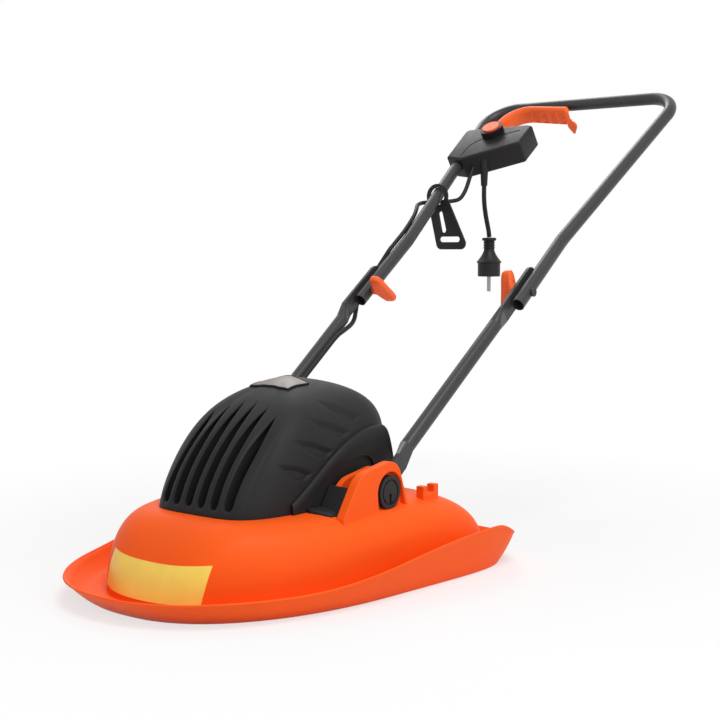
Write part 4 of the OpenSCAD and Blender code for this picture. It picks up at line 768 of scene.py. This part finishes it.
def bail_grid(shares, scallop):
    """Points of one side of the grip; scallop is the share of the scallops' depth that it takes."""
    rows = []
    for i in range(BAIL_ROWS + 1):
        t = i / BAIL_ROWS
        (x, s), (nx, ns) = bail_line(t)
        high, low = between(BAIL_HIGH, t), between(BAIL_LOW, t)
        u = (t - GRIP[0]) / (GRIP[1] - GRIP[0])
        dish = SCALLOP_DEEP * abs(math.sin(math.pi * SCALLOPS * u)) ** 0.8 if 0 < u < 1 else 0
        close = 1 - 0.45 * eased(t, (0.965, 1)) ** 2
        for d, w in catmull(shares, 5):
            d, w = -0.35 + (d + 0.35) * close, -0.25 + (w + 0.25) * close
            d_mm = BAIL_DEPTH * d + scallop * dish * ease((-d - 0.45) / 0.4) * ease((0.35 - w) / 0.4)
            rows.append(bail_pt((x + nx * d_mm, s + ns * d_mm, w * (high if w > 0 else low))))
    return rows


def bail_slab(half):
    return lambda p, end: bail_pt((p[0], p[1], half if end else -half))


grip_rows = bail_grid(OUT_SHARES, 1)
grip = thick("bail_grip_body", grip_rows, bail_grid(IN_SHARES, 0.5), BAIL_ROWS + 1,
             len(grip_rows) // (BAIL_ROWS + 1), "orange_plastic", "bail", 50)
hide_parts("bail_lever")
neck = [(HINGE[0] - HUB_R, HINGE[1]), (HINGE[0] + HUB_R, HINGE[1]), (BAIL_X + BAIL_DEPTH, BAIL_S - BAIL_R),
        (BAIL_X, BAIL_S - BAIL_R)]
prism("bail_neck", neck, bail_slab(6), "orange_plastic", "bail", 1)
prism("bail_hub", circle(*HINGE, HUB_R, 40), bail_slab(5.9), "orange_plastic", "bail", 0.6)
tab = hull(circle(BAIL_END, -BAIL_LOW[1], 9, 48) + circle(BAIL_END, -BAIL_LOW[1] - 14, 2, 24))
prism("bail_tab", tab, lambda p, end: bail_pt((p[0], BAIL_S - BAIL_DEPTH / 2 + (2 if end else -2), p[1])),
      "orange_plastic", "bail", 1.2)

# Switch box: rounded all round, hollow where the button and the bail work, with painted shade along a moulded
# line on top
BOX = [(-183.93, 768), (-149.93, 760), (-54, 804), (-54, 858), (-66, 862), (-183.93, 858), (-187.93, 850)]
BOX_LOW, BOX_HIGH, BOX_R, BOX_STEPS = -24, 17, 4.5, 7
BAY, MOUTH = (-154, -88, 800, 856, -20, 13), (-161, -116, 855, 864, -13.6, 13.6)
BUTTON_BORE, SCREW_BORE = (-123, 838, 15.4, 0, 19), (3.9, -25, -20)
SCREWS = [(-68, 850), (-68, 818), (-142, 772)]
BOX_LINE = [(-154, 768), (-154.5, 785), (-152.5, 801), (-144, 816), (-126, 825), (-105, 831), (-72, 844)]


def normals(loop):
    """The directions of the two sides that meet at each corner."""
    out = []
    for i, q in enumerate(loop):
        a, b = loop[i - 1], loop[(i + 1) % len(loop)]
        out.append(tuple(math.atan2(e[0] - f[0], f[1] - e[1]) for e, f in ((a, q), (q, b))))
    return out


def shrunk(loop, d):
    out = []
    for q, (m, n) in zip(loop, normals(loop)):
        v = np.array([math.cos(m) + math.cos(n), math.sin(m) + math.sin(n)]) / (1 + math.cos(n - m))
        out.append((q[0] - d * v[0], q[1] - d * v[1]))
    return out


def grown(loop, r):
    """A loop moved out, with rounded corners."""
    out = []
    for q, (m, n) in zip(loop, normals(loop)):
        turn = (n - m) % (2 * math.pi) / BOX_STEPS
        out += [(q[0] + r * math.cos(m + turn * k), q[1] + r * math.sin(m + turn * k))
                for k in range(BOX_STEPS + 1)]
    return out


def slab(w0, w1):
    return lambda p, end: tube_pt((p[0], p[1], w1 if end else w0))


def block(x0, x1, s0, s1, w0, w1):
    return prism("box_cut", [(x0, s0), (x1, s0), (x1, s1), (x0, s1)], slab(w0, w1), "black_plastic", None)


def drill(x, s, r, w0, w1):
    return prism("box_cut", circle(x, s, r, 48), slab(w0, w1), "black_plastic", None)


core = shrunk(BOX, BOX_R)
turns = np.linspace(0.12, math.pi / 2, 7)
levels = [(BOX_R * math.sin(t), BOX_LOW + BOX_R * (1 - math.cos(t))) for t in turns]
levels += [(BOX_R * math.sin(t), BOX_HIGH - BOX_R * (1 - math.cos(t))) for t in turns[::-1]]
box_verts = [tube_pt((x, y, w)) for r, w in levels for x, y in grown(core, r)]
box = make("box_body", box_verts, capped_rings(len(levels), len(box_verts) // len(levels)),
           "black_plastic", "upper_handle", 30)
cut(box, 30, block(*BAY), block(*MOUTH), drill(*BUTTON_BORE),
    *[drill(x, s, *SCREW_BORE) for x, s in SCREWS])
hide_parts("box_lower", "box_upper")
# The moulded line is a thin near-black tube: painted shade along the line
tube("box_line", [tube_pt((x, y, BOX_HIGH - 0.1)) for x, y in catmull(BOX_LINE, 8)], 0.6, "screen",
     "upper_handle", 10)

# Wing knobs on the fold bolts: place across, way out from the tube and turn. A round hub widens to a wing.
KNOBS = (("left", 126.7, -1, 144), ("right", -131.6, 1, 20))
KNOB_S, KNOB_SIDES, HUB_HALF, WING_HALF, WING_FULL = 414, 72, 9.2, 31, 10
KNOB_ROWS = [0.2, 1.2, 3, 5, 6.5, 8, 9.5, 11, 13, 15, 17, 19, 21, 22.4, 23.6, 24.5, 25]
for label, foot, way, turn in KNOBS:
    c, n = math.cos(math.radians(turn)), math.sin(math.radians(turn))
    verts = []
    for z in KNOB_ROWS:
        m = eased(z, (4, 11))
        close = 1 - math.sqrt(max(0, 1 - (max(0, z - 17) / 9.2) ** 2.2))
        for cu, su in circle(0, 0, 1, KNOB_SIDES):
            u = math.copysign(abs(cu) ** (1 - 0.38 * m), cu) * between((HUB_HALF, WING_HALF), m)
            waist = 3.6 * (1 - (u / WING_HALF) ** 2) * eased(z, (7, 15))
            v = math.copysign(abs(su) ** (1 - 0.15 * m), su) * between((HUB_HALF, WING_FULL - waist), m)
            u, v = u * (1 - 0.28 * close), v * (1 - 0.75 * close)
            verts.append(tube_pt((foot + way * z, KNOB_S + u * n + v * c, -(u * c - v * n))))
    knob = make("knob_grip_" + label, verts, capped_rings(len(KNOB_ROWS), KNOB_SIDES), "orange_plastic",
                "knob_" + label, 50)
    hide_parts("wing_knob_" + label)

# Cable retainer: the solid's hook with rounded corners and windows. Circles are x, z and radius.
HOOK, HOOK_HALF, RING_OUT, RING_IN = (-155.55, 851.23, 505.11), 2, 21, 15
HOOK_BODY = [(-3, -14, 14), (9, -80, 10), (47, -80, 10), (8, -6, 12)]
WINDOWS = [[(7.5, -30, 4.4), (14, -57, 5)], [(10, -73, 4.6), (42, -73, 4.6)]]


def hook_slab(half):
    return lambda p, end: deck_pt((HOOK[0] + p[0], HOOK[1] + (half if end else -half), HOOK[2] + p[1]))


def hull_of(circles, n):
    return hull([p for c in circles for p in circle(*c, n)])


def hook_cut(loop):
    return prism("hook_cut", loop, hook_slab(2 * HOOK_HALF), "black_plastic", None)


hook = prism("retainer_plate", hull_of(HOOK_BODY, 40), hook_slab(HOOK_HALF), "black_plastic", "retainer")
ring = prism("retainer_ring", circle(0, 0, RING_OUT, 72), hook_slab(HOOK_HALF), "black_plastic", None)
join = hook.modifiers.new("join", "BOOLEAN")
join.object, join.operation, join.solver = ring, "UNION", "EXACT"
cut(hook, 30, hook_cut(circle(0, 0, RING_IN, 64)), *[hook_cut(hull_of(w, 32)) for w in WINDOWS])
bpy.data.objects.remove(ring)
round_edges(hook, 0.8, 2)
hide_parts("cable_retainer")

# Blank sticker on the nose and bare plate on the cover
STICKER_COLS, STICKER_ROWS, STICKER_HALF, STICKER_SLANT, STICKER_UP = 40, 14, 31.5, 3, (0.07, 0.39)
PLATE_COLS, PLATE_ROWS, PLATE_X, PLATE_Y, PLATE_LIFT = 24, 12, (-32, 32), (246, 286), 0.5


def patch(name, grid, n, m, slot, high):
    """Thin sheet over an n by m grid of points and outward directions, sunk a little at its back."""
    top = [np.array(p) + high * MM * np.array(o) for p, o in grid]
    low = [np.array(p) - 0.2 * MM * np.array(o) for p, o in grid]
    thick(name, top, low, n, m, slot, "deck", 50)


def on_dome(a, u, step=0.01):
    p = dome_pt(a, u)
    n = np.cross(dome_pt(a + step, u) - p, dome_pt(a, u + step) - p)
    return deck_pt(p), n / np.linalg.norm(n)


sticker = []
for i in range(STICKER_COLS + 1):
    for j in range(STICKER_ROWS + 1):
        across, up = i / STICKER_COLS, j / STICKER_ROWS
        deg = -90 + (2 * across - 1) * STICKER_HALF + across * STICKER_SLANT * up
        sticker.append(on_dome(math.radians(deg), between(STICKER_UP, up)))
patch("nose_sticker", sticker, STICKER_COLS + 1, STICKER_ROWS + 1, "sticker", 0.4)

tree = BVHTree.FromObject(cover, bpy.context.evaluated_depsgraph_get())
plate = []
for i in range(PLATE_COLS + 1):
    for j in range(PLATE_ROWS + 1):
        above = deck_pt((between(PLATE_X, i / PLATE_COLS), between(PLATE_Y, j / PLATE_ROWS), 400))
        hit = tree.ray_cast(Vector(above), Vector((0, 0, -1)))[0]
        plate.append(((above[0], above[1], hit.z + PLATE_LIFT * MM), (0, 0, 1)))
patch("cover_plate", plate, PLATE_COLS + 1, PLATE_ROWS + 1, "plate", 1.2)
border = [(i, 0) for i in range(PLATE_COLS)] + [(PLATE_COLS, j) for j in range(PLATE_ROWS)]
border += [(PLATE_COLS - i, PLATE_ROWS - j) for i, j in border] + [(0, 0)]
frame_path = [np.array(plate[i * (PLATE_ROWS + 1) + j][0]) + np.array([0, 0, 0.6 * MM]) for i, j in border]
tube("plate_frame", frame_path, 1.3, "black_plastic", "deck", 10)

# Edges of the plain solids that show
for name in ("pivot_cap_left", "pivot_cap_right", "lock_button"):
    weld = NODES[name].modifiers.new("weld", "WELD")
    weld.merge_threshold = 0.01 * MM
    round_edges(NODES[name], 0.8, 2, 35)

# Floor and world. Both are white to the eye; the floor keeps the shadow near the part.
FLOOR_HALF, SHADOW_NEAR, SHADOW_FAR, SHADOW_WHITE, WORLD_LIGHT = 30, 0.25, 0.95, 0.55, 0.36


def seen_white(nt):
    """1 for rays from the eye and for what metal and glass show, so that these see the pale background."""
    path = nt.nodes.new("ShaderNodeLightPath")
    total = path.outputs["Is Camera Ray"]
    for kind in ("Is Glossy Ray", "Is Transmission Ray"):
        more = nt.nodes.new("ShaderNodeMath")
        more.operation, more.use_clamp = "ADD", True
        nt.links.new(total, more.inputs[0])
        nt.links.new(path.outputs[kind], more.inputs[1])
        total = more.outputs["Value"]
    return total


floor_mat, nt, bsdf = new_mat("floor")
nt.links.new(ramp(nt, noise(nt, 3), (0.87, 0.87, 0.87), (0.89, 0.89, 0.89)), bsdf.inputs["Base Color"])
bsdf.inputs["Roughness"].default_value = 0.9
bsdf.inputs["Specular IOR Level"].default_value = 0.1
glow = nt.nodes.new("ShaderNodeEmission")
glow.inputs["Color"].default_value = (1, 1, 1, 1)
where = nt.nodes.new("ShaderNodeTexCoord")
far = nt.nodes.new("ShaderNodeVectorMath")
far.operation = "LENGTH"
nt.links.new(where.outputs["Object"], far.inputs[0])
fade = nt.nodes.new("ShaderNodeMapRange")
fade.interpolation_type = "SMOOTHSTEP"
fade.inputs["From Min"].default_value = SHADOW_NEAR
fade.inputs["From Max"].default_value = SHADOW_FAR
fade.inputs["To Min"].default_value = SHADOW_WHITE
nt.links.new(far.outputs["Value"], fade.inputs["Value"])
both = nt.nodes.new("ShaderNodeMath")
both.operation = "MULTIPLY"
nt.links.new(fade.outputs["Result"], both.inputs[0])
nt.links.new(seen_white(nt), both.inputs[1])
blend = nt.nodes.new("ShaderNodeMixShader")
nt.links.new(both.outputs["Value"], blend.inputs["Fac"])
nt.links.new(bsdf.outputs["BSDF"], blend.inputs[1])
nt.links.new(glow.outputs["Emission"], blend.inputs[2])
nt.links.new(blend.outputs["Shader"], nt.nodes["Material Output"].inputs["Surface"])
floor_mat.cycles.emission_sampling = "NONE"  # its white is only seen, so no lamp samples go to it
floor_mesh = bpy.data.meshes.new("floor")
corners = [(x * FLOOR_HALF, y * FLOOR_HALF, 0) for x, y in ((-1, -1), (1, -1), (1, 1), (-1, 1))]
floor_mesh.from_pydata(corners, [], [(0, 1, 2, 3)])
floor_mesh.materials.append(floor_mat)
floor = bpy.data.objects.new("floor", floor_mesh)
SCENE.collection.objects.link(floor)

world = bpy.data.worlds.new("world")
world.use_nodes = True
SCENE.world = world
wt = world.node_tree
sky = wt.nodes["Background"]
sky.inputs["Color"].default_value = (1, 1, 1, 1)
wt.links.new(spread(wt, seen_white(wt), WORLD_LIGHT, 1.0), sky.inputs["Strength"])

# Lamps: place, target, size in metres and watts
LAMPS = {"key": ((1.2, -0.7, 2.8), (0, -0.05, 0.2), 1.5, 50),
         "fill": ((2.2, -0.4, 1.2), (0, 0, 0.3), 1.6, 11),
         "back": ((-1.4, 1.5, 2.3), (0, 0, 0.4), 1.4, 22)}
for name, (place, target, size, watts) in LAMPS.items():
    lamp = bpy.data.lights.new(name, "AREA")
    lamp.shape, lamp.size, lamp.energy = "DISK", size, watts
    ob = bpy.data.objects.new(name, lamp)
    ob.location = place
    ob.rotation_euler = (Vector(target) - Vector(place)).to_track_quat("-Z", "Y").to_euler()
    SCENE.collection.objects.link(ob)
